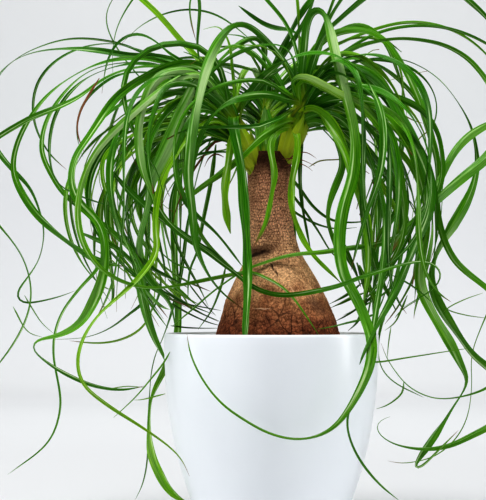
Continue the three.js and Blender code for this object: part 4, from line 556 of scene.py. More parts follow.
# Loose leaves, strands and dry bits: tone (0 to 1 green, above that dry), width, and points as above
STRANDS = [
    (0.5, 1.4, [(-205, 181, 1), (-193, 161, 2), (-182, 157, 3)]),
    (0.4, 1.2, [(-196, 190, 2), (-190, 180, 3), (-182, 168, 4), (-173, 160, 5)]),
    (0.5, 1.6, [(-80, 146, -30), (-85, 137, -31), (-96, 123, -33), (-108, 109, -36), (-125, 93, -38)]),
    (0.7, 1.3, [(-84, 112, -34), (-104, 107, -36), (-109, 107, -36)]),
    (0.6, 1.0, [(-128, 116, -20), (-114, 118, -19), (-100, 117, -18)]),
    (0.5, 1.5, [(76, 138, -30), (82, 137, -31), (110, 141, -32), (142, 146, -33), (156, 148, -34)]),
    (0.4, 1.6, [(105, 122, -20), (104, 113, -21), (98, 107, -22), (90, 102, -23), (83, 100, -24)]),
    (2.0, 2.2, [(-137, 363, -44), (-142, 355, -44), (-149, 343, -44), (-154, 330, -44), (-154, 318, -44),
                (-149, 304, -44)]),
    (1.4, 1.3, [(112, 306, -12), (117, 314, -12), (122, 319, -12), (127, 322, -12)]),
    (1.6, 1.0, [(104, 335, -8), (108, 332, -8), (114, 329, -8), (121, 327, -8)]),
    (0.5, 1.0, [(95, 165, -16), (93, 152, -18), (92, 140, -20)]),
    (0.6, 1.1, [(136, 176, -8), (140, 180, -8), (154, 187, -8), (168, 192, -8)]),
    (0.6, 1.0, [(138, 180, -6), (141, 178, -6), (156, 174, -6), (171, 172, -6)]),
    (0.5, 1.1, [(98, 172, 4), (103, 178, 4), (112, 184, 4), (120, 188, 4)]),
    (1.5, 1.2, [(30, 292, 2), (38, 297, 0), (52, 298, -3), (68, 300, -6), (80, 304, -8)]),
    (2.0, 3.0, [(80, 282, -4), (83, 275, -5), (81, 268, -5), (78, 260, -6)]),
    (2.0, 1.6, [(-38, 300, -12), (-44, 303, -13), (-50, 299, -14), (-53, 292, -14)]),
    (2.0, 1.2, [(12, 296, -14), (20, 303, -16), (28, 304, -17), (36, 299, -18)]),
    (1.9, 1.0, [(10, 292, -14), (18, 295, -17), (26, 294, -18), (33, 289, -19)]),
    (1.9, 0.9, [(8, 298, -13), (15, 299, -16), (24, 298, -18), (35, 293, -20)]),
    # straps that stand up out of the heads
    (0.1, 6, [(-28, 334, 8), (-12, 352, 6), (4, 374, 4), (18, 394, 4), (30, 416, 6), (38, 440, 8)]),
    (0.2, 5, [(14, 342, 8), (8, 356, 4), (-4, 372, 0), (-16, 384, -4), (-30, 389, -8), (-44, 382, -12),
              (-58, 370, -16)]),
    (0.65, 3.4, [(-28, 326, -2), (-29, 348, 0), (-31, 370, 2), (-34, 392, 4), (-42, 404, 6),
                 (-54, 402, 8)]),
    (0.15, 5, [(-26, 318, -10), (-28, 334, -14), (-38, 352, -16), (-48, 368, -18), (-58, 379, -20),
               (-70, 384, -22)]),
    (0.1, 5, [(18, 330, 6), (12, 348, 10), (4, 366, 14), (-8, 384, 18), (-22, 396, 20), (-36, 398, 22)]),
    (0.4, 4.6, [(24, 342, -6), (29, 364, -6), (36, 388, -4), (44, 410, -2), (52, 432, 0), (58, 448, 2)]),
    (0.1, 4.4, [(26, 338, -16), (34, 354, -20), (46, 366, -24), (60, 369, -28), (76, 362, -32),
                (92, 346, -36)]),
    (0.3, 4, [(22, 346, 2), (26, 368, 4), (38, 388, 6), (54, 400, 8), (70, 402, 10), (88, 396, 12),
              (104, 384, 14)]),
    # thinner leaves that cross inside the mop, left and right of the stem
    (0.5, 7, [(-70, 320, -10), (-69, 300, -16), (-66, 275, -20), (-63, 255, -22), (-57, 240, -22),
              (-50, 230, -20), (-41, 221, -18), (-30, 211, -22)]),
    (0.1, 6, [(-128, 290, -30), (-112, 272, -32), (-98, 260, -34), (-84, 249, -36), (-70, 239, -36),
              (-58, 231, -34), (-46, 224, -30), (-36, 215, -28), (-28, 208, -28)]),
    (0.3, 6, [(-150, 262, -20), (-138, 249, -22), (-126, 240, -24), (-113, 228, -26), (-104, 215, -28),
              (-97, 205, -30), (-88, 196, -32)]),
    (0.2, 5, [(-152, 240, -10), (-138, 234, -12), (-122, 227, -14), (-108, 214, -16), (-98, 204, -18),
              (-88, 194, -20)]),
    (0.15, 3.2, [(-96, 262, -30), (-92, 244, -30), (-88, 228, -28), (-85, 215, -26), (-84, 199, -24)]),
    (0.35, 4, [(-44, 310, 26), (-48, 280, 30), (-54, 250, 30), (-59, 224, 28), (-64, 212, 24),
               (-66, 198, 20), (-66, 186, 18)]),
    (0.05, 5, [(-122, 246, 0), (-112, 230, -4), (-102, 218, -8), (-92, 210, -10), (-78, 203, -10),
               (-66, 196, -8)]),
    (0.1, 5, [(-110, 226, -40), (-101, 207, -42), (-92, 196, -42), (-84, 189, -42), (-79, 180, -40),
              (-77, 170, -38), (-76, 163, -36)]),
    (0.35, 2.4, [(-36, 214, 36), (-39, 200, 34), (-43, 188, 32), (-48, 177, 30), (-58, 163, 28)]),
    (0.3, 2.6, [(-112, 204, -30), (-104, 194, -30), (-98, 186, -30), (-91, 176, -28), (-82, 164, -26)]),
    (0.3, 4.6, [(-108, 216, -50), (-104, 203, -50), (-100, 190, -50), (-95, 181, -50)]),
    (0.05, 1.8, [(-94, 198, 10), (-80, 190, 14), (-70, 184, 18), (-56, 181, 24), (-40, 178, 30)]),
    (0.05, 1.8, [(-84, 186, 12), (-70, 178, 16), (-58, 172, 22), (-48, 168, 28), (-40, 166, 34)]),
    (0.1, 1.7, [(-78, 188, 20), (-64, 180, 24), (-52, 174, 28), (-40, 169, 34)]),
    (0.0, 1.3, [(-80, 166, 0), (-68, 164.5, 6), (-56, 164, 20), (-42, 164, 36)]),
    (0.1, 1.4, [(-66, 200, 4), (-60, 192, 10), (-52, 182, 20), (-44, 174, 30)]),
    (0.45, 3.4, [(-82, 203, -34), (-74, 195, -34), (-66, 188, -32), (-58, 181, -30)]),
    (0.7, 1.2, [(-140, 226, -20), (-128, 219, -18), (-118, 210, -16), (-106, 203, -14), (-94, 196, -12)]),
    (0.4, 2, [(-101, 262, -36), (-100, 244, -36), (-98, 228, -36), (-95, 216, -36)]),
    (0.1, 2.6, [(-88, 206, -20), (-88, 195, -20), (-92, 183, -20), (-97, 174, -20)]),
    (0.1, 6, [(50, 244, 24), (57, 230, 24), (62, 219, 22), (67, 209, 20), (71, 197, 18)]),
    (0.15, 6, [(74, 246, -20), (78, 230, -20), (84, 213, -20), (89, 199, -20), (94, 188, -22),
               (99, 178, -24)]),
    (0.1, 4, [(68, 216, 10), (72, 204, 10), (75, 193, 12), (76, 182, 14)]),
    (0.4, 4.2, [(70, 214, -10), (76, 201, -14), (81, 189, -16), (84, 178, -18), (83, 169, -20),
                (80, 163, -22)]),
    (0.0, 2.8, [(72, 200, 18), (64, 193, 22), (56, 188, 26), (46, 183, 30)]),
    (0.35, 3.2, [(74, 192, 8), (64, 188, 14), (56, 184, 22), (47, 180, 30)]),
    (0.1, 2.2, [(84, 191, 6), (74, 184, 12), (66, 178, 20), (58, 173, 28), (50, 169, 34)]),
    (0.1, 2, [(84, 176, -14), (72, 171, -26), (60, 168, -40), (48, 165, -50), (36, 163, -54)]),
    (0.0, 3.2, [(76, 186, 10), (72, 176, 10), (67, 167, 12), (61, 162, 14)]),
    (0.5, 3, [(104, 250, 10), (100, 236, 10), (95, 225, 8), (91, 214, 6), (90, 200, 4)]),
    (0.1, 1.6, [(96, 206, -30), (108, 200, -32), (118, 193, -34), (128, 184, -36)]),
    (0.5, 1.7, [(108, 190, -20), (103, 178, -20), (98, 168, -20), (90, 162, -20)]),
    (0.2, 3, [(10, 290, 30), (22, 276, 36), (34, 260, 38), (48, 250, 40), (64, 248, 40), (82, 250, 38)]),
    (0.1, 2.2, [(6, 266, 28), (22, 254, 32), (38, 246, 36), (52, 243, 40), (68, 244, 42)]),
    (0.15, 2.4, [(12, 276, 30), (26, 258, 32), (38, 240, 32), (48, 224, 30), (60, 214, 30)]),
    (0.6, 2, [(92, 262, -10), (92, 246, -12), (91, 230, -14), (90, 218, -16)]),
]


# Small vector helpers, on plain triples so that every sum is at full precision
def less(a, b):
    return (a[0] - b[0], a[1] - b[1], a[2] - b[2])


def along(a, b, k):
    return (a[0] + b[0] * k, a[1] + b[1] * k, a[2] + b[2] * k)


def mix(a, b, t):
    return (a[0] + (b[0] - a[0]) * t, a[1] + (b[1] - a[1]) * t, a[2] + (b[2] - a[2]) * t)


def dot(a, b):
    return a[0] * b[0] + a[1] * b[1] + a[2] * b[2]


def cross(a, b):
    return (a[1] * b[2] - a[2] * b[1], a[2] * b[0] - a[0] * b[2], a[0] * b[1] - a[1] * b[0])


def size(a):
    return math.sqrt(dot(a, a))


def unit(a):
    n = size(a)
    return (a[0] / n, a[1] / n, a[2] / n)


def swung(a, b, angle):
    """Vector a turned by an angle towards b, which is square to it."""
    c = math.cos(angle)
    return along((a[0] * c, a[1] * c, a[2] * c), b, math.sin(angle))


def angle_between(a, b):
    return math.acos(max(-1.0, min(1.0, dot(a, b) / (size(a) * size(b)))))


def smooth(low, high, value):
    """0 below low, 1 above high, and eased between them."""
    t = max(0.0, min(1.0, (value - low) / (high - low)))
    return t * t * (3 - 2 * t)


def between(rows, at, column):
    """Value of a column of rows at a height, in straight steps between the rows."""
    if at <= rows[0][0]:
        return rows[0][column]
    for a, b in zip(rows, rows[1:]):
        if at <= b[0]:
            return a[column] + (b[column] - a[column]) * (at - a[0]) / (b[0] - a[0])
    return rows[-1][column]


def eased(rows, at, column):
    """The same value rounded over the rows, for a finished surface."""
    reach = 4
    return sum(between(rows, at + d * reach / 3, column) for d in range(-3, 4)) / 7


def spread(values, t):
    """Value at share t of a list whose values are spread evenly, eased between them."""
    if len(values) == 1:
        return values[0]
    k = t * (len(values) - 1)
    i = min(int(k), len(values) - 2)
    f = k - i
    return values[i] + (values[i + 1] - values[i]) * f * f * (3 - 2 * f)


class Draws:
    """Seeded draws: a linear congruential generator."""

    def __init__(self, seed):
        self.state = seed

    def next(self):
        self.state = (self.state * 1664525 + 1013904223) % 4294967296
        return self.state / 4294967296

    def span(self, low, high):
        return low + (high - low) * self.next()


def place(x, z, depth):
    """Point read at x, z in the plane of the axis, moved along the line of sight to a depth."""
    k = (depth - EYE[1]) / -EYE[1]
    return (EYE[0] + (x - EYE[0]) * k, depth, EYE[2] + (z - EYE[2]) * k)


def seen(p):
    """Where a point shows in the plane of the axis, seen from the eye."""
    k = -EYE[1] / (p[1] - EYE[1])
    return EYE[0] + (p[0] - EYE[0]) * k, EYE[2] + (p[2] - EYE[2]) * k


def lengths(line):
    """Length of a line from its start to each of its points."""
    run = [0.0]
    for a, b in zip(line, line[1:]):
        run.append(run[-1] + size(less(b, a)))
    return run


def curve(points):
    """Centripetal Catmull-Rom curve through the points."""
    first = along(points[0], less(points[1], points[0]), -1)
    last = along(points[-1], less(points[-1], points[-2]), 1)
    p = [first, *points, last]
    dense = []
    for a, b, c, d in zip(p, p[1:], p[2:], p[3:]):
        t1 = math.sqrt(size(less(b, a)))
        t2 = t1 + math.sqrt(size(less(c, b)))
        t3 = t2 + math.sqrt(size(less(d, c)))
        n = max(3, math.ceil(size(less(c, b)) / CURVE_STEP))
        for j in range(n):
            t = t1 + (t2 - t1) * j / n
            a1 = mix(a, b, t / t1)
            a2 = mix(b, c, (t - t1) / (t2 - t1))
            a3 = mix(c, d, (t - t2) / (t3 - t2))
            b1 = mix(a1, a2, t / t2)
            b2 = mix(a2, a3, (t - t1) / (t3 - t1))
            dense.append(mix(b1, b2, (t - t1) / (t2 - t1)))
    dense.append(points[-1])
    return dense


def even(dense, step):
    """The same line with its points an even step apart."""
    run = lengths(dense)
    n = max(LEAST_STEPS, math.ceil(run[-1] / step))
    out = []
    k = 0
    for i in range(n + 1):
        s = run[-1] * i / n
        while k < len(run) - 2 and run[k + 1] < s:
            k += 1
        f = (s - run[k]) / max(run[k + 1] - run[k], 1e-9)
        out.append(mix(dense[k], dense[k + 1], f))
    return out


def soften(points, times):
    for _ in range(times):
        inner = [mix(b, mix(a, c, 0.5), 0.5) for a, b, c in zip(points, points[1:], points[2:])]
        points = [points[0], *inner, points[-1]]
    return points


def frames(points, turns, facing):
    """Tangent and side vector at each point. The face is turned by the given angles from the eye's
    plane, or from the level for a leaf placed by rule, and follows them without a jump."""
    last = len(points) - 1
    tangents = [unit(less(points[min(i + 1, last)], points[max(i - 1, 0)])) for i in range(last + 1)]
    reference = (0.0, 1.0, 0.0) if facing else (0.0, 0.0, 1.0)
    sides = []
    for i, t in enumerate(tangents):
        level = cross(t, reference)
        definite = size(level)
        side = unit(along(sides[-1], t, -dot(sides[-1], t))) if sides else None
        if not sides or definite > TURN_FROM:
            level = unit(level) if definite > 1e-6 else (1.0, 0.0, 0.0)
            want = swung(level, cross(t, level), math.radians(spread(turns, i / last)))
            if side and dot(want, side) < 0:
                want = (-want[0], -want[1], -want[2])
            pull = TURN_PULL * min(1, (definite - TURN_FROM) / TURN_RANGE)
            side = unit(mix(side, want, pull)) if side else want
        sides.append(side)
    return tangents, sides


def breadth(width, tip, t):
    """Width at share t of the length: flared at the root, even, then narrowing to the tip."""
    if t < TIP_START:
        return width * (1 + BASE_FLARE * max(0, 1 - t / BASE_SHARE) ** 2)
    return width * (1 - (1 - tip) * ((t - TIP_START) / (1 - TIP_START)) ** TIP_POWER)


def stations(line, tangents, sides):
    """Where the coarse blade's sections stand: closer together where it bends or twists."""
    cost = [0.0]
    for i in range(1, len(line)):
        bend = angle_between(tangents[i], tangents[i - 1])
        twist = angle_between(sides[i], sides[i - 1])
        length = size(less(line[i], line[i - 1]))
        cost.append(cost[-1] + length / SEGMENT_LENGTH + bend / SEGMENT_BEND + twist / SEGMENT_TWIST)
    count = max(LEAST_SEGMENTS, math.floor(cost[-1] + 0.5))
    picks = []
    k = 0
    for j in range(count + 1):
        c = cost[-1] * j / count
        while k < len(line) - 2 and cost[k + 1] < c:
            k += 1
        picks.append(k + (c - cost[k]) / max(cost[k + 1] - cost[k], 1e-9))
    return picks


def corners(row):
    """Corners of a coarse section: the edges of the flat face and the keel."""
    point, tangent, side, width = row
    up = cross(side, tangent)
    keel = KEEL_BASE + KEEL_SHARE * width
    return [along(point, side, -width / 2), along(point, side, width / 2), along(point, up, -keel)]


def falls_back(earlier, later):
    """Whether a corner of the later section would lie behind the same corner of the earlier one."""
    ahead = along(earlier[1], later[1], 1)
    return any(dot(less(b, a), ahead) < LEAST_ADVANCE for a, b in zip(corners(earlier), corners(later)))


def coarse_rows(line, tangents, sides, width, tip):
    """Sections of the coarse blade, without those that would fold back on the one before."""
    rows = []
    for k in stations(line, tangents, sides):
        i = min(int(k), len(line) - 2)
        f = k - i
        tangent = unit(mix(tangents[i], tangents[i + 1], f))
        side = unit(mix(sides[i], sides[i + 1], f))
        side = unit(along(side, tangent, -dot(side, tangent)))
        row = (mix(line[i], line[i + 1], f), tangent, side, breadth(width, tip, k / (len(line) - 1)))
        if len(rows) > 1 and falls_back(rows[-1], row):
            rows.pop()
        if not rows or not falls_back(rows[-1], row):
            rows.append(row)
    return rows


class Leaf:
    """A leaf's line with its tangents and sides, its widths and its coarse sections."""

    def __init__(self, points, turns, facing, width, tip, listed):
        self.line = soften(even(curve(points), STEP), 3)
        self.tangents, self.sides = frames(self.line, turns, facing)
        self.width = width
        self.tip = tip
        self.listed = listed
        self.rows = coarse_rows(self.line, self.tangents, self.sides, width, tip)

    def face_up(self):
        """Turns the flat face up over the first part of the leaf."""
        start = self.rows[: math.ceil(len(self.rows) * UPTURNED)]
        if sum(cross(side, tangent)[2] for _, tangent, side, _ in start) < 0:
            self.sides = [(-x, -y, -z) for x, y, z in self.sides]


def cloud(rows):
    """Sample points spread over a coarse blade."""
    out = []
    for (p0, _, s0, w0), (p1, _, s1, w1) in zip(rows, rows[1:]):
        n = max(1, math.ceil(size(less(p1, p0)) / SAMPLE_STEP))
        for j in range(n):
            point = mix(p0, p1, j / n)
            side = mix(s0, s1, j / n)
            width = w0 + (w1 - w0) * j / n
            across = 3 if width > WIDE else 2
            for c in range(across + 1):
                out.append(along(point, side, width * (c / across - 0.5)))
    out.append(rows[-1][0])
    return out


class Space:
    """Samples of the blades placed so far, by cell of a grid."""

    def __init__(self):
        self.cells = {}

    def add(self, points, head):
        for p in points:
            key = (math.floor(p[0] / CELL), math.floor(p[1] / CELL), math.floor(p[2] / CELL))
            self.cells.setdefault(key, []).append((p, head))

    def meets(self, points, head):
        """Whether a sample comes too near a blade of another head."""
        around = [(x, y, z) for x in (-1, 0, 1) for y in (-1, 0, 1) for z in (-1, 0, 1)]
        for p in points:
            i, j, k = (math.floor(c / CELL) for c in p)
            for x, y, z in around:
                for q, other in self.cells.get((i + x, j + y, k + z), ()):
                    if other != head:
                        d = less(p, q)
                        if dot(d, d) < CLEAR * CLEAR:
                            return True
        return False


def pot_radius(z):
    return POT_RIM - POT_TAPER * (max(0, POT_HEIGHT - z) / POT_HEIGHT) ** POT_POWER


def meets_solid(points, head):
    """Whether a sample comes too near the stem, the pot, the soil, the ground or another head's stem."""
    for p in points:
        x, y, z = p
        if z < TRUNK_CLEAR_TOP:
            if math.hypot(x - between(TRUNK, z, 2), y) < between(TRUNK, z, 1) + TRUNK_CLEAR:
                return True
        if z < POT_HEIGHT + POT_CLEAR:
            radius = math.hypot(x, y)
            outside = pot_radius(z)
            inside = outside - POT_WALL - POT_CLEAR
            if inside < radius < outside + POT_CLEAR:
                return True
            if radius <= inside and z < SOIL_TOP + POT_CLEAR:
                return True
        if z < LOWEST:
            return True
        for other, (_, foot, top, radii) in enumerate(HEADS):
            if head in (other, None):
                continue
            axis = less(top, foot)
            t = max(0, min(1, dot(less(p, foot), axis) / dot(axis, axis)))
            if size(less(p, mix(foot, top, t))) < radii[0] + (radii[1] - radii[0]) * t + CORE_CLEAR:
                return True
    return False


def on_stem(head, h):
    return mix(HEADS[head][1], HEADS[head][2], max(0, h))


def root(head, h, number):
    """Inner end of a leaf, and the point where it leaves the stem: each leaf has its own side of it."""
    angle = number * GOLDEN_ANGLE
    aside = (ROOT_ASIDE * math.cos(angle), ROOT_ASIDE * math.sin(angle), 0)
    return [along(on_stem(head, h - ROOT_DEPTH), aside, 1), along(on_stem(head, h), aside, 1)]


def listed_leaf(row, number, space):
    """Leaf of the list, bent in depth by the first shift that leaves it clear."""
    head, h, width, tip, turns, points = row
    first = None
    for shift in SHIFTS:
        route = root(head, h, number)
        for i, (x, z, depth) in enumerate(points):
            route.append(place(x, z, depth + shift * min(1, (i + 1) / SHIFT_POINTS)))
        leaf = Leaf(route, turns, True, width, tip, True)
        samples = cloud(leaf.rows)
        if not space.meets(samples, head) and not meets_solid(samples, head):
            return leaf
        first = first or leaf
    return first


def in_clear_air(p):
    """Whether a point shows in the clear air beside the stem or beyond the mop."""
    x, z = seen(p)
    for near, far, left, right, low, high in CLEAR_AIR:
        if near <= p[1] < far and left < x < right and low < z < high:
            return True
    left, right, low, high = MOP
    return not (left <= x <= right and low <= z <= high)


def rule_leaf(head, i, count, draws, space):
    """Leaf placed by rule: it rises, arches over, hangs and turns inwards, and is drawn again until clear."""
    age = (i + 0.5) / count
    for attempt in range(RULE_TRIES):
        drawn = {name: draws.span(*ends) for name, ends in RULE.items()}
        azimuth = i * GOLDEN_ANGLE + head * HEAD_TURN + drawn["azimuth"] + attempt * TRY_TURN
        rise = math.radians(RULE_RISE - RISE_LOST * age + drawn["rise"])
        hang, drop = math.radians(drawn["hang"]), math.radians(drawn["drop"])
        over = drawn["over"] + BACK_REACH * max(0, math.sin(azimuth))
        stride = (drawn["length"] - LENGTH_LOST * age) / RULE_STEPS
        points = root(head, 1 - 0.8 * age, i + attempt)
        for k in range(1, RULE_STEPS + 1):
            t = k / RULE_STEPS
            slope = rise - (rise + drop) * t / over
            if t >= over:
                slope = -drop - (hang - drop) * (t - over) / (1 - over)
            slope += max(0, drawn["flick"]) * max(0, t - 0.8) / 0.2
            heading = azimuth + drawn["curl"] * (0.25 * t + max(0, t - 0.35) * 0.9)
            level = math.cos(slope)
            ahead = (level * math.cos(heading), level * math.sin(heading), math.sin(slope))
            points.append(along(points[-1], ahead, stride))
        at_root, at_tip = drawn["root turn"], drawn["tip turn"]
        turns = [at_root, at_root / 2, at_tip / 2, at_tip]
        leaf = Leaf(points, turns, False, drawn["width"], RULE_TIP, False)
        samples = cloud(leaf.rows)
        if any(in_clear_air(p) for p in samples[60::6]):
            continue
        if not meets_solid(samples, head) and not space.meets(samples, head):
            return leaf
    return None


def all_leaves():
    """Every leaf, head by head."""
    space = Space()
    heads = [[] for _ in HEADS]

    def keep(leaf, head):
        heads[head].append(leaf)
        space.add(cloud(leaf.rows), head)

    for number, row in enumerate(LEAVES):
        keep(listed_leaf(row, number, space), row[0])
    draws = Draws(SEED)
    for i in range(max(RULE_LEAVES)):
        for head, count in enumerate(RULE_LEAVES):
            leaf = rule_leaf(head, i, count, draws, space) if i < count else None
            if leaf:
                keep(leaf, head)
    for leaves in heads:
        for leaf in leaves:
            leaf.face_up()
    return heads


# Finished surfaces


def metres(p):
    return Vector(p) * MM


def in_scene(name, data):
    """New object in the scene."""
    made = bpy.data.objects.new(name, data)
    bpy.context.scene.collection.objects.link(made)
    return made


def smooth_object(name, bm, material):
    """Object from a bmesh in metres, smooth all over and with its finish."""
    mesh = bpy.data.meshes.new(name)
    bm.to_mesh(mesh)
    bm.free()
    mesh.polygons.foreach_set("use_smooth", [True] * len(mesh.polygons))
    mesh.materials.append(material)
    return in_scene(name, mesh)


def finished(name, bm, material, slot, *nodes):
    """Piece that rides on the plant and stands for the nodes."""
    piece = smooth_object(name, bm, material)
    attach(piece, "root")
    if nodes:
        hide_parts(*nodes)


def wire(bm, points):
    """Line of edges through the points, as its vertices and its edges."""
    verts = [bm.verts.new(p) for p in points]
    return verts, [bm.edges.new(pair) for pair in zip(verts, verts[1:])]


def tube(bm, sides, rows):
    """Closed tube of that many sides and rows along Z in an empty bmesh: each vertex's corner and row."""
    bmesh.ops.create_cone(bm, cap_ends=True, segments=sides, radius1=1, radius2=1, depth=rows)
    upright = [e for e in bm.edges if abs(e.verts[0].co.z - e.verts[1].co.z) > 0.5]
    bmesh.ops.subdivide_edges(bm, edges=upright, cuts=rows - 1)
    first = min(math.atan2(v.co.y, v.co.x) % (math.tau / sides) for v in bm.verts)
    spots = {}
    for v in bm.verts:
        corner = round((math.atan2(v.co.y, v.co.x) - first) * sides / math.tau) % sides
        spots[v] = (corner, round(v.co.z + rows / 2))
    return spots


# Corners of a leaf's section, from its left edge over the top: place across, and depth as a share
# of the channel and of the thickness. The edges and the middle lines are creased
SECTION = [
    (-0.5, 0, -0.5), (-0.28, -0.45, 0), (0, -1, 0), (0.28, -0.45, 0),
    (0.5, 0, -0.5), (0.28, -0.45, -1), (0, -1, -1.2), (-0.28, -0.45, -1),
]
ACROSS = [0, 0.22, 0.5, 0.78, 1, 0.78, 0.5, 0.22]
CREASES = (0, 2, 4, 6)
TOP_CORNERS = 5
THICKNESS = 0.35

# Channel as a share of the width, and how it opens and closes along the leaf: mean, swing and length
CHANNEL = 0.18
CHANNEL_MEAN = 0.75
CHANNEL_SWING = 0.35
CHANNEL_WAVE = 37
# Ripple of the edges as a share of the width, its length, and how the left half goes with the right one
RIPPLE = 0.035
RIPPLE_WAVE = 9
RIPPLE_LEFT = -0.7

# Length that a root is pale over, flare of the root and the share it ends at, length that the tip narrows
# over and how wide it ends, and the swing of the face in degrees
PALE_ROOT = 30
FINE_FLARE = 0.6
FINE_BASE = 0.07
TIP_LENGTH = 14
TIP_LEAST = 0.12
TWIST = 40

# Tones of leaves from dark to light, and how many have a dry tip, of what length
TONE_TOP = 0.75
TONE_POWER = 1.3
DRY_SHARE = 0.55
DRY_TIP = (4, 26)

# Leaves of one tone that stands out, by head and place among its leaves
TONES = {(0, 12): 0.16, (1, 9): 0.1, (0, 15): 0.25, (1, 21): 0.6}

# Leaves that change along their length in a way of their own, by head and place: share of the length from
# the root, width, tone, partly painted light and shade along the leaf, and the strength of the painted
# highlight on one half
OWN_LEAVES = {
    (1, 10): [
        (0, 6.2, 0.05, 0), (0.15, 6.2, 0.05, 0), (0.17, 4.6, 0.2, 0), (0.2, 8.6, 0.5, 0.8),
        (0.25, 9.6, 0.55, 0.8), (0.3, 9.6, 0.5, 0.2), (0.36, 9.6, 0.35, 0), (0.44, 9.6, 0.3, 0),
        (0.57, 8.6, 0.3, 0), (0.69, 7.3, 0.35, 0), (0.78, 1.8, 0.4, 0),
    ],
    (1, 0): [
        (0, 5.4, 0.1, 0), (0.25, 5.2, 0.1, 0), (0.3, 4.8, 0.15, 0), (0.36, 7.5, 0.25, 0.15),
        (0.42, 9, 0.3, 0.8), (0.48, 9, 0.25, 0.75), (0.56, 8.6, 0.12, 0.1), (0.82, 6, 0.15, 0),
        (1, 2, 0.2, 0),
    ],
    (0, 7): [
        (0, 6.6, 0.3, 0), (0.55, 6.6, 0.3, 0), (0.64, 8.2, 0.4, 0.1), (0.73, 8.2, 0.4, 0.1),
        (0.77, 5.2, 0.4, 0), (0.8, 4, 0.2, 0), (0.9, 3, 0.2, 0), (1, 1.2, 0.2, 0),
    ],
    (0, 2): [
        (0, 4, 0.3, 0), (0.55, 3.4, 0.3, 0), (0.7, 5, 0.3, 0), (0.82, 7.5, 0.25, 0), (0.92, 7, 0.25, 0),
        (1, 3, 0.3, 0),
    ],
    (0, 8): [
        (0, 4.8, 0.5, 0), (0.1, 5, 0.5, 0.3), (0.2, 5.4, 0.5, 0.85), (0.33, 5.4, 0.5, 0.75),
        (0.4, 5, 0.5, 0.2), (0.5, 4.8, 0.5, 0), (0.75, 3.6, 0.5, 0), (1, 0.9, 0.5, 0),
    ],
    (0, 9): [
        (0, 5, 0.3, 0), (0.3, 7, 0.35, 0.2), (0.45, 8, 0.4, 0.85), (0.65, 8, 0.4, 0.75),
        (0.8, 6.5, 0.35, 0.3), (0.92, 4, 0.5, 0), (1, 1.2, 0.8, 0),
    ],
    (0, 10): [
        (0, 6, 0.3, 0), (0.14, 8, 0.25, 0.1), (0.22, 11, 0.3, 0.6), (0.38, 11, 0.3, 0.45),
        (0.5, 10.5, 0.25, 0.1), (0.65, 10, 0.25, 0.15), (0.8, 8, 0.3, 0), (0.93, 5, 0.3, 0),
        (1, 1.5, 0.3, 0),
    ],
    (1, 14): [
        (0, 4.5, 0.3, 0), (0.15, 4, 0.35, 0), (0.5, 4, 0.35, 0), (0.62, 7, 0.4, 0), (0.7, 8.5, 0.35, 0.1),
        (0.85, 9, 0.3, 0), (0.95, 6, 0.3, 0), (1, 2, 0.3, 0),
    ],
    (1, 17): [
        (0, 5, 0.3, 0), (0.1, 3, 0.2, 0), (0.37, 3.4, 0.2, 0), (0.41, 5, 0.25, 0), (0.45, 9.2, 0.3, 0),
        (0.48, 9.2, 0.35, 0.2), (0.505, 5, 0.4, 0.5), (0.53, 2.8, 0.3, 0), (0.56, 6, 0.3, 0),
        (0.59, 9.5, 0.35, 0), (0.62, 10, 0.35, 0), (0.65, 8, 0.3, 0), (0.7, 7.5, 0.3, 0),
        (0.8, 5.5, 0.3, 0), (0.9, 3, 0.3, 0), (0.95, 1.4, 0.3, 0), (1, 1, 0.4, 0),
    ],
    (1, 18): [
        (0, 4, 0.3, 0), (0.08, 2.6, 0.2, 0), (0.34, 2.6, 0.2, 0), (0.43, 6.5, 0.35, 0),
        (0.5, 7.5, 0.4, 0.15), (0.56, 5.5, 0.4, 0), (0.7, 4.4, 0.4, 0), (0.85, 3, 0.45, 0),
        (1, 1.2, 0.4, 0),
    ],
    (1, 19): [
        (0, 6.2, 0.4, 0), (0.45, 7, 0.4, 0), (0.55, 9, 0.5, 0.3), (0.64, 8.5, 0.4, 0.1), (0.7, 5, 0.3, 0),
        (0.74, 2.6, 0.3, 0), (0.78, 6, 0.25, 0), (0.82, 8, 0.25, 0), (0.86, 5.4, 0.25, 0),
        (0.885, 2.2, 0.3, 0), (1, 1, 0.6, 0),
    ],
    (2, 10): [
        (0, 6.6, 0.4, 0), (0.6, 6.6, 0.4, 0), (0.71, 8, 0.5, 0.1), (0.76, 6, 0.5, 0), (0.79, 2.8, 0.45, 0),
        (0.83, 3.4, 0.5, 0), (0.88, 7.8, 0.65, 0.15), (0.93, 7.6, 0.6, 0.1), (0.97, 5, 0.55, 0),
        (1, 2, 0.5, 0),
    ],
    (1, 11): [
        (0, 3, 0.3, 0), (0.12, 2.4, 0.3, 0), (0.17, 2.8, 0.4, 0), (0.21, 5.5, 0.8, 0.3),
        (0.26, 7.4, 0.9, 0.5), (0.36, 7.4, 0.8, 0.3), (0.5, 7.2, 0.5, 0.1), (0.67, 6.5, 0.4, 0),
        (0.83, 4.6, 0.4, 0), (1, 1.5, 0.4, 0),
    ],
}

# Thin leaves that keep company with the listed ones: how many tries each leaf has, how far they stray, up
# and sideways too, how they sway, how wide they are as a share, and the turns of their faces
COMPANION_TRIES = 2
STRAY = (5, 26)
STRAY_UP = 0.6
SWAY = 24
SWAY_WAVES = (0.8, 1.8)
COMPANION_LENGTH = (0.6, 1)
COMPANION_WIDTH = (0.42, 0.85)
COMPANION_LEAST = 0.7
COMPANION_TAPER = 0.8
COMPANION_TURNS = (40, 60, 90)
COMPANION_TONE = 0.8
COMPANION_DRY_TIP = 8
RARELY_DRY = 50
# Where they stay: z from and to, x as it shows from and to, and from which point clear of all else
COMPANION_RISE = (212, 392)
COMPANION_SPAN = (-150, 128)
CLEAR_POINTS = 4
OPEN_POINTS = 10
LEAST_POINTS = 8

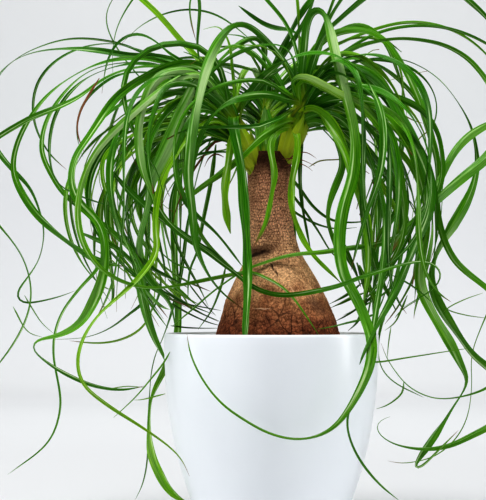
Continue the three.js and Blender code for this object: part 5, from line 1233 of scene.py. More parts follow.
# Strands: the step they are cut in, the length of an end in widths, and the turns of their faces
STRAND_STEP = 2.5
STRAND_TIP = 4
STRAND_TURNS = [25, 60]


def fine_width(leaf, own, t, left):
    """Width of the finished blade at share t of its length, with that length left to the tip."""
    if own:
        width = between(own, t, 1)
    else:
        width = breadth(leaf.width, leaf.tip, t) + leaf.width * FINE_FLARE * max(0, 1 - t / FINE_BASE) ** 2
    return width * min(1.0, TIP_LEAST + (1 - TIP_LEAST) * (left / TIP_LENGTH) ** 0.7)


def lay_uv(part, uv, spots, place_of):
    """Gives each corner of each face its place on the leaf, across and along."""
    for face in part.faces:
        for loop in face.loops:
            loop[uv].uv = place_of(*spots[loop.vert])


def join(part, bm):
    """Adds a finished bmesh to another one."""
    mesh = bpy.data.meshes.new("part")
    part.to_mesh(mesh)
    part.free()
    bm.from_mesh(mesh)
    bpy.data.meshes.remove(mesh)


def add_blade(bm, line, tangents, sides, widths, look):
    """Blade swept along a line, with a channel above and a low keel below. look is its tones and painted
    highlights along the line, dryness, the length that its tip is dry over and the length that its root is
    pale over."""
    shades, dry, dry_tip, pale_root = look
    part = bmesh.new()
    uv = part.loops.layers.uv.new("along")
    tint = part.verts.layers.float_color.new("leaf")
    # strength of the painted highlight on one half, vertex by vertex
    painted_highlight_layer = part.verts.layers.float.new("painted_highlight")
    spots = tube(part, len(SECTION), len(line) - 1)
    run = lengths(line)
    phase = shades[0][0] * 40
    for v, (corner, row) in spots.items():
        width = widths[row]
        across, channel, thick = SECTION[corner]
        up = cross(sides[row], tangents[row])
        flat = CHANNEL_MEAN + CHANNEL_SWING * math.sin(run[row] / CHANNEL_WAVE + phase)
        depth = channel * CHANNEL * width * flat + thick * THICKNESS * min(1, 0.4 + width / 6)
        half = 1 if across > 0 else RIPPLE_LEFT
        ripple = RIPPLE * width * math.sin(run[row] / RIPPLE_WAVE + phase) * half * abs(across) * 2
        point = along(line[row], sides[row], across * width)
        v.co = metres(along(point, up, depth + ripple))
        pale = smooth(pale_root, 0, run[row]) if pale_root else 0
        tip_dry = smooth(dry_tip, 0, run[-1] - run[row]) if dry_tip else 0
        under = 0.0 if corner < TOP_CORNERS else 1.0
        tone, v[painted_highlight_layer] = shades[min(row, len(shades) - 1)]
        v[tint] = (tone, pale, max(dry, tip_dry), under)
    for edge in part.edges:
        a, b = (spots[v][0] for v in edge.verts)
        edge.smooth = not (a == b and a in CREASES)
    lay_uv(part, uv, spots, lambda corner, row: (ACROSS[corner], run[row] * MM))
    join(part, bm)


def add_leaf(bm, leaf, draws, which):
    """Finished blade of a leaf, which is known by its head and its place there."""
    last = len(leaf.line) - 1
    own = OWN_LEAVES.get(which)
    widths = [fine_width(leaf, own, i / last, STEP * (last - i)) for i in range(last + 1)]
    shades = [(TONE_TOP * draws.next() ** TONE_POWER, 0)]
    if own:
        shades = [(between(own, i / last, 2), between(own, i / last, 3)) for i in range(last + 1)]
    elif which in TONES:
        shades = [(TONES[which], 0)]
    dry_tip = draws.span(*DRY_TIP) if draws.next() < DRY_SHARE else 0
    phase, waves = draws.span(0, math.tau), draws.span(1.2, 2.8) * math.tau
    sides = []
    for i, (tangent, side) in enumerate(zip(leaf.tangents, leaf.sides)):
        t = i / last
        turn = math.radians(TWIST) * smooth(0, 0.2, t) * math.sin(phase + waves * t)
        sides.append(swung(side, cross(side, tangent), turn))
    add_blade(bm, leaf.line, leaf.tangents, sides, widths, (shades, 0, dry_tip, PALE_ROOT))


def companion(leaf, draws):
    """Line of a thinner leaf that strays from another one, or None where it would be in the way."""
    last = len(leaf.line) - 1
    turn = draws.span(0, math.tau)
    stray = draws.span(*STRAY)
    aside = (stray * math.cos(turn), stray * math.sin(turn), draws.span(-STRAY_UP, STRAY_UP) * stray)
    sway = draws.span(-SWAY, SWAY)
    waves = draws.span(*SWAY_WAVES) * math.pi
    end = round(last * draws.span(*COMPANION_LENGTH))
    line = []
    for i in range(0, end + 1, 2):
        t = i / last
        p = along(leaf.line[i], aside, smooth(0, 0.6, t) + 0.4 * t)
        line.append(along(p, leaf.sides[i], sway * smooth(0, 0.3, t) * math.sin(waves * t)))
    if len(line) < LEAST_POINTS or meets_solid(line[CLEAR_POINTS:], None):
        return None
    if any(in_clear_air(p) for p in line[OPEN_POINTS:]):
        return None
    low, high = COMPANION_RISE
    left, right = COMPANION_SPAN
    if not all(low < p[2] < high and left < seen(p)[0] < right for p in line):
        return None
    return line


def add_companions(bm, leaf, draws):
    for _ in range(COMPANION_TRIES):
        line = companion(leaf, draws)
        width = leaf.width * draws.span(*COMPANION_WIDTH)
        turns = [draws.span(-most, most) for most in COMPANION_TURNS]
        tone = draws.next() * COMPANION_TONE
        dryness = draws.next() ** RARELY_DRY
        if line:
            last = len(line) - 1
            tangents, sides = frames(line, turns, leaf.listed)
            taper = [1 - COMPANION_TAPER * (i / last) ** 2 for i in range(last + 1)]
            widths = [max(COMPANION_LEAST, width * share) for share in taper]
            look = ([(tone, 0)], dryness, COMPANION_DRY_TIP, PALE_ROOT)
            add_blade(bm, line, tangents, sides, widths, look)


def add_strand(bm, tone, width, points):
    """Thin leaf, strand or dry bit along its points."""
    line = soften(even(curve([place(*p) for p in points]), STRAND_STEP), 2)
    tangents, sides = frames(line, STRAND_TURNS, True)
    last = len(line) - 1
    widths = []
    for i in range(last + 1):
        end = min(1, 0.3 + 0.7 * STRAND_STEP * min(i, last - i) / (STRAND_TIP * width))
        belly = 0.6 + 0.4 * math.sin(math.pi * min(1, 0.3 + i / last * 0.7))
        widths.append(width * end * belly)
    add_blade(bm, line, tangents, sides, widths, ([(min(tone, 1), 0)], max(0, tone - 1), 0, 0))


# Short stem of a head: sides, rows, its foot below the bark and the ridges round it
SHOOT_SIDES = 20
SHOOT_ROWS = 16
SHOOT_FOOT = 5
RIDGES = 3
RIDGE = 0.35

# Sheaths that close it in: how many, the steps along one, its width, how far up each starts and ends, and
# the length that they are pale over on each head, short on the back head as part of its painted shade
SHEATHS = 7
SHEATH_STEPS = 14
SHEATH_WIDTH = 10.5
SHEATH_FOOT = (-1.5, 9)
SHEATH_TOP = (0.62, 0.36)
SHEATH_DRY = 0.12
SHEATH_PALE = [40, 48, 10]


def add_shoot(bm, head, draws):
    """Short stem of a head, closed in by the pale sheaths of its lowest leaves."""
    _, foot, top, radii = HEADS[head]
    axis = unit(less(top, foot))
    aside = unit(cross(axis, (0, 1, 0)))
    front = cross(axis, aside)
    length = size(less(top, foot))

    def girth(t):
        return radii[0] + (radii[1] - radii[0]) * t - 1.2 * smooth(0.12, 0, t) - 6 * smooth(0.55, 1, t)

    part = bmesh.new()
    uv = part.loops.layers.uv.new("along")
    tint = part.verts.layers.float_color.new("leaf")
    spots = tube(part, SHOOT_SIDES, SHOOT_ROWS)
    for v, (corner, row) in spots.items():
        t = row / SHOOT_ROWS
        turn = math.tau * corner / SHOOT_SIDES
        radius = girth(t) + RIDGE * math.cos(RIDGES * turn + 4 * t)
        middle = along(foot, axis, t * (length + SHOOT_FOOT) - SHOOT_FOOT)
        v.co = metres(along(middle, swung(aside, front, turn), radius))
        pale = 0.8 * smooth(SHEATH_PALE[head], 0, t * length)
        # the tone is lower from head to head and lowest on the back head: painted shade where the leaves hide
        # it
        v[tint] = (0.6 - 0.2 * head, pale, 0.12 * smooth(0.3, 0, t), 0)
    around, up = RIDGES / SHOOT_SIDES, length / SHOOT_ROWS * MM
    lay_uv(part, uv, spots, lambda corner, row: (corner * around, row * up))
    join(part, bm)
    steps = [k / SHEATH_STEPS for k in range(SHEATH_STEPS + 1)]
    for i in range(SHEATHS):
        out = swung(aside, front, i * GOLDEN_ANGLE + head)
        low = SHEATH_FOOT[0] + SHEATH_FOOT[1] * i / SHEATHS
        high = length * (SHEATH_TOP[0] + SHEATH_TOP[1] * i / SHEATHS)
        line = []
        for t in steps:
            h = low + (high - low) * t
            radius = girth(h / length) - 0.6 + 1.5 * smooth(0, 0.25, t) + 3 * smooth(0.7, 1, t)
            line.append(along(along(foot, axis, h), out, radius))
        line = soften(line, 2)
        tangents, _ = frames(line, [0], True)
        sides = [unit(cross(out, tangent)) for tangent in tangents]
        widths = [SHEATH_WIDTH * smooth(-0.3, 0.12, t) * (1 - 0.8 * smooth(0.5, 1, t)) for t in steps]
        # the tone is lower from head to head and lowest on the back head: painted shade where the leaves hide
        # it
        look = ([(0.9 - 0.3 * head, 0)], draws.span(0, SHEATH_DRY), 0, SHEATH_PALE[head])
        add_blade(bm, line, tangents, sides, widths, look)


def leaf_heads(material):
    """One piece for each head, with its leaves and its short stem, and one for all the loose strands."""
    draws = Draws(7)
    for head, leaves in enumerate(all_leaves()):
        name = HEADS[head][0]
        bm = bmesh.new()
        for i, leaf in enumerate(leaves):
            add_leaf(bm, leaf, draws, (head, i))
            if leaf.listed:
                add_companions(bm, leaf, draws)
        add_shoot(bm, head, draws)
        finished(name + "_leaves", bm, material, "leaf", name)
    bm = bmesh.new()
    for strand in STRANDS:
        add_strand(bm, *strand)
    finished("loose_leaves_and_strands", bm, material, "leaf")


# Stem: corners and rows of its surface, its three soft ridges, over what height its relief comes in, and
# the inset of its end caps
TRUNK_SIDES = 168
TRUNK_ROWS = 190
TRUNK_RIDGE = 0.02
RELIEF_RISE = 20
CAP_INSET = 3

# Seed of the noise that bends the cracks, which would else lie in other places on each run
BARK_SEED = 1
noise.seed_set(BARK_SEED)

# Relief of the bark: heights between which the swollen part ends, depth of its large and fine cracks, and
# the fold below the neck, with its depth, height and half its width
SWOLLEN_END = (180, 202)
CRACK_DEPTH = 0.9
FINE_DEPTH = 0.3
FOLD_DEPTH = 1.8
FOLD_HEIGHT = 223.5
FOLD_HALF = 1.9


def crack(p, wide, tall):
    """Depth of a net of cracks at a point, 0 on a plate and 1 in a crack, with cells of that size."""
    distances, _ = noise.voronoi(Vector((p.x / wide, p.y / wide, p.z / tall)))
    return 1 - smooth(0.02, 0.22, distances[1] - distances[0])


def bark_relief(p, z):
    """How far the bark stands out at a point, in millimetres."""
    low, high = SWOLLEN_END
    swollen = 1 - smooth(low, high, z + 9 * noise.noise(p / 23))
    warped = p + Vector(noise.noise_vector(p / 14)) * 5
    some = smooth(-0.15, 0.2, noise.noise(p / 19 + Vector((3, 1, 8))))
    cracks = CRACK_DEPTH * crack(warped, 13, 19) * swollen * some
    fine = FINE_DEPTH * crack(warped, 6, 5) * swollen
    lumps = 0.7 * noise.noise(p / 26) + 0.2 * noise.noise(p / 8)
    rough = 0.4 * noise.noise(p / 2.4) * (0.25 + 0.75 * swollen)
    fold = FOLD_DEPTH * math.exp(-(((z - FOLD_HEIGHT) / FOLD_HALF) ** 2))
    return lumps + rough - cracks - fine - fold * smooth(5, -10, p.x) * smooth(6, -4, p.y)


def stem(material):
    low, high = TRUNK[0][0], TRUNK[-1][0]
    bm = bmesh.new()
    for v, (corner, row) in tube(bm, TRUNK_SIDES, TRUNK_ROWS).items():
        z = low + (high - low) * row / TRUNK_ROWS
        angle = math.tau * corner / TRUNK_SIDES
        middle = Vector((eased(TRUNK, z, 2), 0, z))
        out = Vector((math.cos(angle), math.sin(angle), 0))
        radius = eased(TRUNK, z, 1) * (1 + TRUNK_RIDGE * math.cos(3 * angle + z / 60))
        radius += bark_relief(middle + out * radius, z) * smooth(low, low + RELIEF_RISE, z)
        v.co = (middle + out * radius) * MM
    caps = [f for f in bm.faces if len(f.verts) > 4]
    for cap in caps:
        bmesh.ops.inset_region(bm, faces=[cap], thickness=CAP_INSET * MM, depth=0)
        bmesh.ops.poke(bm, faces=[cap])
    finished("swollen_stem", bm, material, "cork", "stem")


# Pot: steps of its turning, and how wide each half of its lip is rounded
POT_STEPS = 128
LIP = 1.5


def turned(outline, steps):
    """Outline in millimetres turned once round the upright axis."""
    bm = bmesh.new()
    verts, edges = wire(bm, [metres((r, 0, z)) for r, z in outline])
    bmesh.ops.spin(
        bm, geom=verts + edges, cent=(0, 0, 0), axis=(0, 0, 1), angle=math.tau, steps=steps, use_merge=True
    )
    bmesh.ops.remove_doubles(bm, verts=bm.verts, dist=1e-6)
    bmesh.ops.recalc_face_normals(bm, faces=bm.faces)
    return bm


def pot(material):
    """Turned from the middle of the foot, up the outside, over the lip and down the inside."""
    foot, inside = pot_radius(0), POT_RIM - POT_WALL
    outline = [(0, 0), (foot - 3, 0), (foot - 1, 0.5), (pot_radius(2.5), 2.5)]
    outline += [(pot_radius(z), z) for z in range(8, 158, 6)]
    outline += [(POT_RIM - 0.1, 157.6), (POT_RIM - 0.3, 159.1), (POT_RIM - LIP, POT_HEIGHT)]
    outline += [(inside + LIP, POT_HEIGHT), (inside + 0.4, 159.1)]
    outline += [(pot_radius(z) - POT_WALL, z) for z in range(157, 9, -7)]
    outline += [(pot_radius(POT_FLOOR) - POT_WALL - 3, POT_FLOOR), (0, POT_FLOOR)]
    finished("glazed_pot", turned(outline, POT_STEPS), material, "glaze", "pot")


# Soil: gap to the pot, radius of its hole, height it reaches down to, rings and steps of its top, and the
# loose crumbs, of what size
SOIL_GAP = 0.3
SOIL_HOLE = 50.4
SOIL_LOW = 60
SOIL_RINGS = 26
SOIL_STEPS = 200
CRUMBS = 420
CRUMB_SIZE = (0.5, 1.9)


def soil(material):
    """Crumbly disc between the stem and the pot, with loose crumbs on it."""
    outer = pot_radius(SOIL_TOP) - POT_WALL - SOIL_GAP
    top = [(outer + (SOIL_HOLE - outer) * k / SOIL_RINGS, SOIL_TOP) for k in range(SOIL_RINGS + 1)]
    wall = [(pot_radius(z) - POT_WALL - SOIL_GAP, z) for z in range(SOIL_LOW, SOIL_TOP, 10)]
    bm = turned([(0, SOIL_LOW), *wall, *top, (SOIL_HOLE, SOIL_LOW + 6), (0, SOIL_LOW + 6)], SOIL_STEPS)

    def aside(radius):
        return TRUNK[0][2] * MM * smooth(outer - 4, SOIL_HOLE, radius)

    for v in bm.verts:
        if v.co.z < (SOIL_TOP - 1) * MM:
            continue
        p = v.co / MM
        radius = p.xy.length
        hump = 1.2 * noise.noise(p / 17) + 0.9 * noise.noise(p / 5) + 0.5 * noise.noise(p / 2.2)
        hump += 1.5 * smooth(SOIL_HOLE + 8, SOIL_HOLE, radius)
        v.co.z += hump * MM * smooth(outer, outer - 2, radius)
        v.co.x += aside(radius)
    draws = Draws(31)
    for _ in range(CRUMBS):
        angle = draws.span(0, math.tau)
        radius = math.sqrt(draws.span(SOIL_HOLE**2, (outer - 2) ** 2))
        grain = draws.span(*CRUMB_SIZE)
        spot = metres((radius * math.cos(angle), radius * math.sin(angle), SOIL_TOP + 0.4))
        spot.x += aside(radius)
        turn = Matrix.Rotation(draws.span(0, math.tau), 4, "Z")
        squash = Matrix.Diagonal((1, draws.span(0.5, 1), draws.span(0.4, 0.8), 1))
        matrix = Matrix.Translation(spot) @ turn @ squash
        bmesh.ops.create_icosphere(bm, subdivisions=1, radius=grain * MM, matrix=matrix)
    finished("potting_soil", bm, material, "soil", "soil")


# Finishes

# Marks on the front of the bark in millimetres, the first two being painted shadow of the fold below the
# neck:
# middle x and z, half its length and width, its slope in degrees, its colour and how strong it is
MARKS_AND_FOLD_SHADOW = [
    (-10, 224.5, 19, 6, 16, (0.090, 0.036, 0.020), 0.8),
    (-12, 222.5, 14, 1.8, 14, (0.020, 0.008, 0.004), 0.95),
    (0.5, 212, 5, 1.2, -62, (0.030, 0.011, 0.006), 0.95),
    (3.5, 207.5, 3.5, 1, -76, (0.040, 0.016, 0.008), 0.9),
    (34, 182, 12, 6, -50, (0.070, 0.034, 0.022), 0.6),
    (16, 193, 9, 0.7, -58, (0.800, 0.500, 0.300), 0.6),
    (-8, 179.5, 9, 0.5, 0, (0.850, 0.600, 0.400), 0.7),
]


class Finish:
    """Material with its nodes made one by one."""

    def __init__(self, name, **shader):
        self.material = bpy.data.materials.new(name)
        self.material.use_nodes = True
        self.tree = self.material.node_tree
        self.shader = self.tree.nodes["Principled BSDF"]
        self.use(**shader)

    def use(self, **sockets):
        """Sets or links sockets of the shader, and gives the material."""
        for socket, value in sockets.items():
            self.feed(self.shader.inputs[socket.replace("_", " ")], value)
        return self.material

    def node(self, kind, inputs=(), **settings):
        made = self.tree.nodes.new(kind)
        for key, value in settings.items():
            setattr(made, key, value)
        for key, value in dict(inputs).items():
            self.feed(made.inputs[key], value)
        return made

    def feed(self, socket, value):
        if isinstance(value, bpy.types.NodeSocket):
            self.tree.links.new(value, socket)
        else:
            socket.default_value = value

    def place(self):
        """Place on the piece, in metres."""
        return self.node("ShaderNodeTexCoord").outputs["Object"]

    def attribute(self, name):
        return self.node("ShaderNodeAttribute", attribute_name=name).outputs

    def split(self, vector):
        return self.node("ShaderNodeSeparateXYZ", {0: vector}).outputs

    def scaled(self, vector, scale):
        return self.node("ShaderNodeMapping", {"Vector": vector, "Scale": scale}).outputs[0]

    def vector(self, operation, a, b):
        return self.node("ShaderNodeVectorMath", {0: a, 1: b}, operation=operation).outputs[0]

    def math(self, operation, a, b=0.0):
        return self.node("ShaderNodeMath", {0: a, 1: b}, operation=operation).outputs[0]

    def plus(self, a, b):
        return self.math("ADD", a, b)

    def times(self, a, b):
        return self.math("MULTIPLY", a, b)

    def ramp(self, value, *stops):
        """Colour or grey of a value, in straight steps between the stops."""
        made = self.node("ShaderNodeValToRGB", {0: value})
        elements = made.color_ramp.elements
        while len(elements) < len(stops):
            elements.new(0.5)
        for element, (at, colour) in zip(elements, stops):
            element.position = at
            element.color = (*colour, 1) if isinstance(colour, tuple) else (colour, colour, colour, 1)
        return made.outputs[0]

    def blend(self, share, a, b, how="MIX"):
        made = self.node("ShaderNodeMix", data_type="RGBA", blend_type=how)
        for socket, value in zip((made.inputs[0], made.inputs[6], made.inputs[7]), (share, a, b)):
            self.feed(socket, value)
        return made.outputs[2]

    def layer(self, colour, share, strength, tint):
        """Colour with a tint over it by a share, up to a strength."""
        tint = (*tint, 1) if isinstance(tint, tuple) else tint
        return self.blend(self.times(share, strength), colour, tint)

    def noise(self, vector, scale, detail=3.0, roughness=0.5):
        inputs = {"Vector": vector, "Scale": scale, "Detail": detail, "Roughness": roughness}
        return self.node("ShaderNodeTexNoise", inputs).outputs[0]

    def cracks(self, vector, scale):
        inputs = {"Vector": vector, "Scale": scale}
        return self.node("ShaderNodeTexVoronoi", inputs, feature="DISTANCE_TO_EDGE").outputs[0]

    def mark(self, x, z, at_x, at_z, half_length, half_width, slope):
        """Share of a spot, 1 in its middle and 0 beyond its edge, on a place in millimetres."""
        run, up = self.math("SUBTRACT", x, at_x), self.math("SUBTRACT", z, at_z)
        c, s = math.cos(math.radians(slope)), math.sin(math.radians(slope))
        ahead = self.plus(self.times(run, c / half_length), self.times(up, s / half_length))
        aside = self.math("SUBTRACT", self.times(up, c / half_width), self.times(run, s / half_width))
        away = self.plus(self.times(ahead, ahead), self.times(aside, aside))
        return self.ramp(away, (0.05, 1.0), (1.0, 0.0))

    def bump(self, height, strength, distance):
        inputs = {"Height": height, "Strength": strength, "Distance": distance}
        return self.node("ShaderNodeBump", inputs).outputs[0]


def leaf_finish():
    """Waxy green leaf with fine lengthwise ribs, pale at its root and brown where it is dry, with painted
    shade on one half and painted highlights.
    """
    f = Finish("waxy_leaf", Specular_IOR_Level=0.2)
    uv = f.node("ShaderNodeUVMap").outputs[0]
    across = f.split(uv)[0]
    leaf = f.attribute("leaf")
    tone, pale, dry = f.node("ShaderNodeSeparateColor", {0: leaf["Color"]}).outputs
    under = leaf["Alpha"]
    streaks = f.noise(f.scaled(uv, (9, 26, 1)), 1.0, 5.0, 0.68)
    ribs = f.math("SINE", f.times(across, math.tau * 8))
    green = f.ramp(
        f.plus(f.times(streaks, 0.85), f.times(tone, 0.45)),
        (0.34, (0.005, 0.104, 0.000)), (0.52, (0.048, 0.248, 0.001)),
        (0.68, (0.160, 0.430, 0.003)), (0.86, (0.440, 0.700, 0.025)),
    )
    # painted shade: one half of the blade is darker than the other, as where it turns away from the light
    half = f.ramp(
        across, (0.0, 0.9), (0.1, 0.3), (0.3, 0.7), (0.48, 1.0), (0.53, 0.0), (0.8, 0.2), (1.0, 0.7)
    )
    green = f.blend(half, f.blend(1.0, green, (0.6, 0.66, 0.55, 1), "MULTIPLY"), green)
    # painted highlights: pale patches on the left half, and on the right half where a leaf has its own
    painted_highlight = f.ramp(across, (0.02, 0.0), (0.16, 1.0), (0.44, 1.0), (0.53, 0.05))
    here = f.ramp(f.noise(f.scaled(uv, (3, 14, 1)), 1.0, 3.0, 0.55), (0.50, 0.0), (0.63, 1.0))
    right = f.ramp(across, (0.3, 0.1), (0.52, 1.0), (0.85, 1.0), (1.0, 0.4))
    own = f.times(f.times(f.attribute("painted_highlight")["Fac"], right), f.plus(streaks, 0.5))
    painted_highlight = f.math("MAXIMUM", f.times(painted_highlight, here), own)
    brown = f.ramp(streaks, (0.3, (0.12, 0.035, 0.014)), (0.7, (0.34, 0.15, 0.06)))
    colour = green
    for share, strength, tint in (
        (painted_highlight, 1.0, (0.66, 0.82, 0.46)),
        (f.plus(ribs, 1.0), 0.08, (0.20, 0.42, 0.05)),
        (under, 0.25, (0.10, 0.27, 0.02)),
        (pale, 0.8, (0.66, 0.72, 0.045)),
        (dry, 1.15, brown),
    ):
        colour = f.layer(colour, share, strength, tint)
    rough = f.plus(f.plus(f.times(streaks, 0.16), f.times(dry, 0.4)), 0.2)
    normal = f.bump(f.plus(f.times(ribs, 0.3), f.times(streaks, 0.6)), 0.6, 0.0003)
    return f.use(Base_Color=colour, Roughness=rough, Normal=normal)


def cork_finish():
    """Bark: a fine net of rings and ticks on the neck, smooth and tan on the shoulder, red-brown below."""
    f = Finish("corky_bark", Specular_IOR_Level=0.2)
    where = f.place()
    x, y, z = f.split(where)
    drift = f.node("ShaderNodeTexNoise", {"Vector": where, "Scale": 110.0, "Detail": 4.0}).outputs[1]
    drift = f.vector("MULTIPLY", f.vector("SUBTRACT", drift, (0.5, 0.5, 0.5)), (0.005, 0.005, 0.005))
    swept = f.vector("ADD", where, drift)
    wander = f.noise(where, 70.0, 4.0, 0.6)
    grain = f.noise(where, 640.0, 4.0, 0.75)
    speck = f.noise(where, 1500.0, 3.0, 0.7)
    level = f.plus(z, f.times(f.math("SUBTRACT", wander, 0.5), 0.03))
    level = f.math("DIVIDE", level, TRUNK[-1][0] * MM)
    low = f.ramp(level, (0.57, 1.0), (0.66, 0.0))
    neck = f.ramp(level, (0.66, 0.0), (0.75, 1.0))
    # colour by height, in patches, mottled and dusty
    body = f.ramp(
        level,
        (0.48, (0.220, 0.073, 0.036)), (0.545, (0.295, 0.108, 0.052)), (0.60, (0.415, 0.200, 0.098)),
        (0.67, (0.590, 0.370, 0.205)), (0.74, (0.640, 0.400, 0.230)), (0.82, (0.700, 0.400, 0.250)),
        (0.93, (0.560, 0.300, 0.185)), (0.968, (0.080, 0.034, 0.018)),
    )
    patches = f.ramp(wander, (0.34, (0.72, 0.66, 0.62)), (0.6, (1.1, 1.1, 1.08)))
    mottle = f.ramp(grain, (0.36, (0.36, 0.30, 0.27)), (0.5, (0.98, 0.97, 0.96)), (0.64, (1.6, 1.6, 1.6)))
    dust = f.ramp(speck, (0.38, (0.6, 0.55, 0.5)), (0.5, (1.0, 1.0, 1.0)), (0.62, (1.35, 1.35, 1.3)))
    colour = body
    for share, shade in ((1.0, patches), (0.85, mottle), (0.7, dust)):
        colour = f.blend(share, colour, shade, "MULTIPLY")
    # net of rings and ticks round the neck
    round_it = f.times(f.math("ARCTAN2", y, x), 54 / math.tau)
    round_it = f.plus(round_it, f.times(f.noise(where, 200.0, 3.0, 0.6), 2.6))
    wavy = f.plus(f.times(z, 400.0), f.times(f.noise(where, 90.0, 4.0, 0.6), 3.5))
    net = f.node("ShaderNodeTexBrick", {
        "Vector": f.node("ShaderNodeCombineXYZ", {0: round_it, 1: wavy}).outputs[0], "Scale": 1.0,
        "Mortar Size": 0.16, "Mortar Smooth": 0.6, "Brick Width": 1.0, "Row Height": 1.0,
    }).outputs["Fac"]
    net = f.times(f.times(net, f.ramp(f.noise(where, 420.0, 3.0, 0.6), (0.36, 0.15), (0.56, 1.0))), neck)
    # plates and flakes of the swollen part
    plates = f.ramp(f.cracks(f.scaled(swept, (1.25, 1.25, 0.8)), 75.0), (0.0, 1.0), (0.035, 0.5), (0.07, 0.0))
    some = f.ramp(f.noise(where, 55.0, 2.0), (0.42, 0.0), (0.56, 1.0))
    flakes = f.ramp(f.cracks(f.scaled(swept, (1, 1, 1.2)), 230.0), (0.0, 1.0), (0.08, 0.4), (0.2, 0.0))
    dark = (0.045, 0.016, 0.008)
    for share, strength, tint in (
        (net, 0.85, (0.10, 0.038, 0.024)),
        (f.times(plates, low), some, dark),
        (f.times(flakes, low), 0.6, dark),
    ):
        colour = f.layer(colour, share, strength, tint)
    # marks on the front of the bark; the first two paint the shadow of the fold below the neck
    across, depth, up = f.split(f.vector("MULTIPLY", swept, (1000, 1000, 1000)))
    front = f.math("LESS_THAN", depth, 0.0)
    for *spot, tint, strength in MARKS_AND_FOLD_SHADOW:
        colour = f.layer(colour, f.times(f.mark(across, up, *spot), front), strength, tint)
    normal = f.bump(f.math("SUBTRACT", f.times(grain, 0.9), f.times(net, 0.4)), 0.8, 0.0006)
    return f.use(Base_Color=colour, Roughness=f.plus(f.times(grain, 0.2), 0.75), Normal=normal)


def glaze_finish():
    """Smooth white glaze with a very slight unevenness."""
    f = Finish("white_glaze", Specular_IOR_Level=0.45, Coat_Weight=0.2, Coat_Roughness=0.12)
    where = f.place()
    clouding = f.noise(where, 14.0)
    colour = f.blend(clouding, (0.82, 0.85, 0.885, 1), (0.865, 0.89, 0.92, 1))
    normal = f.bump(f.noise(where, 120.0, 2.0, 0.4), 0.05, 0.0002)
    return f.use(Base_Color=colour, Roughness=f.plus(f.times(clouding, 0.08), 0.3), Normal=normal)


def soil_finish():
    """Dark potting mix, matt and crumbly, with a few pale bits."""
    f = Finish("potting_mix", Specular_IOR_Level=0.2, Roughness=0.95)
    where = f.place()
    grain = f.noise(where, 420.0, 5.0, 0.7)
    bits = f.ramp(f.noise(where, 240.0, 2.0), (0.68, 0.0), (0.74, 0.8))
    colour = f.ramp(
        grain, (0.3, (0.010, 0.006, 0.004)), (0.55, (0.040, 0.024, 0.015)), (0.78, (0.12, 0.075, 0.05))
    )
    colour = f.blend(bits, colour, (0.28, 0.22, 0.16, 1))
    return f.use(Base_Color=colour, Normal=f.bump(grain, 1.0, 0.0012))


# Studio, in metres: a pale sweep that lies flat, bends up and stands behind, and the camera's lens in
# millimetres, looking from the eye at a height in millimetres on the axis
SWEEP_HALF = 4.0
SWEEP_FLAT = 2.3
SWEEP_BEND = 1.0
SWEEP_STEPS = 16
LENS = 126.9
SENSOR = 36
LOOKED_AT = 226


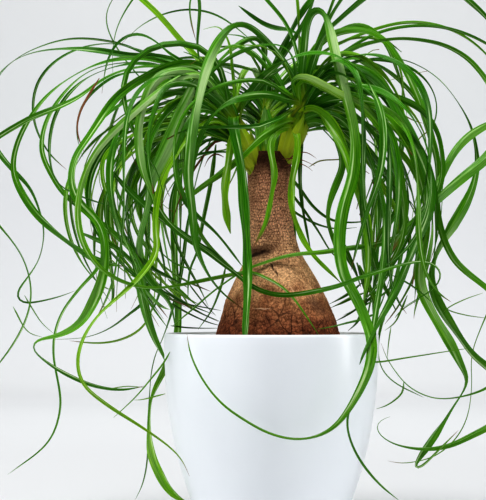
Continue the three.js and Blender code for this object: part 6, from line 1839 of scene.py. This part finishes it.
def studio():
    """Pale sweep, with painted light and shade that make it a little lighter and darker from front to back.
    """
    bm = bmesh.new()
    outline = [(-SWEEP_HALF, 0.0), (SWEEP_FLAT, 0.0)]
    for k in range(1, SWEEP_STEPS + 1):
        a = math.pi / 2 * k / SWEEP_STEPS
        outline.append((SWEEP_FLAT + SWEEP_BEND * math.sin(a), SWEEP_BEND * (1 - math.cos(a))))
    outline.append((SWEEP_FLAT + SWEEP_BEND, SWEEP_HALF))
    _, edges = wire(bm, [(-SWEEP_HALF, y, z) for y, z in outline])
    swept = bmesh.ops.extrude_edge_only(bm, edges=edges)["geom"]
    far = [v for v in swept if isinstance(v, bmesh.types.BMVert)]
    bmesh.ops.translate(bm, verts=far, vec=(2 * SWEEP_HALF, 0, 0))
    bmesh.ops.recalc_face_normals(bm, faces=bm.faces)
    paper = Finish("pale_paper", Roughness=0.85)
    where = paper.place()
    _, y, z = paper.split(where)
    tint = paper.blend(paper.noise(where, 2.0), (0.825, 0.835, 0.845, 1), (0.845, 0.855, 0.865, 1))
    # painted light and shade: the sweep's colour is lighter and darker in bands from front to back
    painted_light_and_shade = paper.ramp(
        paper.math("DIVIDE", paper.plus(y, z), 5.0),
        (0.12, (0.925, 0.92, 0.915)), (0.26, (0.885, 0.885, 0.88)), (0.36, (0.90, 0.90, 0.895)),
        (0.42, (0.965, 0.96, 0.955)), (0.465, (1.045, 1.04, 1.03)), (0.5, (1.08, 1.075, 1.065)),
        (0.57, (1.07, 1.065, 1.06)), (0.62, (1.045, 1.04, 1.035)), (0.72, (0.985, 0.98, 0.98)),
        (0.8, (0.965, 0.965, 0.955)), (0.86, (0.965, 0.96, 0.95)),
    )
    material = paper.use(Base_Color=paper.blend(1.0, tint, painted_light_and_shade, "MULTIPLY"))
    sweep = smooth_object("pale_sweep", bm, material)


def aim(thing, spot, target):
    """Puts a light or the camera at a spot and turns it to a target."""
    thing.location = spot
    thing.rotation_euler = (Vector(target) - Vector(spot)).to_track_quat("-Z", "Y").to_euler()


def softbox(name, spot, target, wide, tall, power):
    data = bpy.data.lights.new(name, "AREA")
    data.shape = "RECTANGLE"
    data.size = wide
    data.size_y = tall
    data.energy = power
    aim(in_scene(name, data), spot, target)


def light_and_camera():
    scene = bpy.context.scene
    world = bpy.data.worlds.new("studio_air")
    world.use_nodes = True
    air = world.node_tree.nodes["Background"]
    air.inputs[0].default_value = (0.93, 0.96, 1.0, 1)
    air.inputs[1].default_value = 0.24
    scene.world = world
    middle = (0, 0, 0.22)
    softbox("top_box", (-0.2, -0.45, 1.4), middle, 0.6, 0.6, 12)
    softbox("left_strip", (-1.6, -0.1, 0.6), middle, 0.3, 1.4, 8)
    softbox("right_strip", (1.6, -0.2, 0.6), middle, 0.3, 1.4, 9)
    softbox("back_wash", (0, 1.1, 1.5), (0, 3.2, 0.3), 3.0, 1.0, 21)
    camera = in_scene("camera", bpy.data.cameras.new("camera"))
    camera.data.lens = LENS
    camera.data.sensor_width = SENSOR
    aim(camera, metres(EYE), metres((EYE[0], 0, LOOKED_AT)))
    scene.camera = camera
    scene.view_settings.view_transform = "Standard"
    scene.view_settings.look = "High Contrast"


leaf_heads(leaf_finish())
stem(cork_finish())
pot(glaze_finish())
soil(soil_finish())
studio()
light_and_camera()
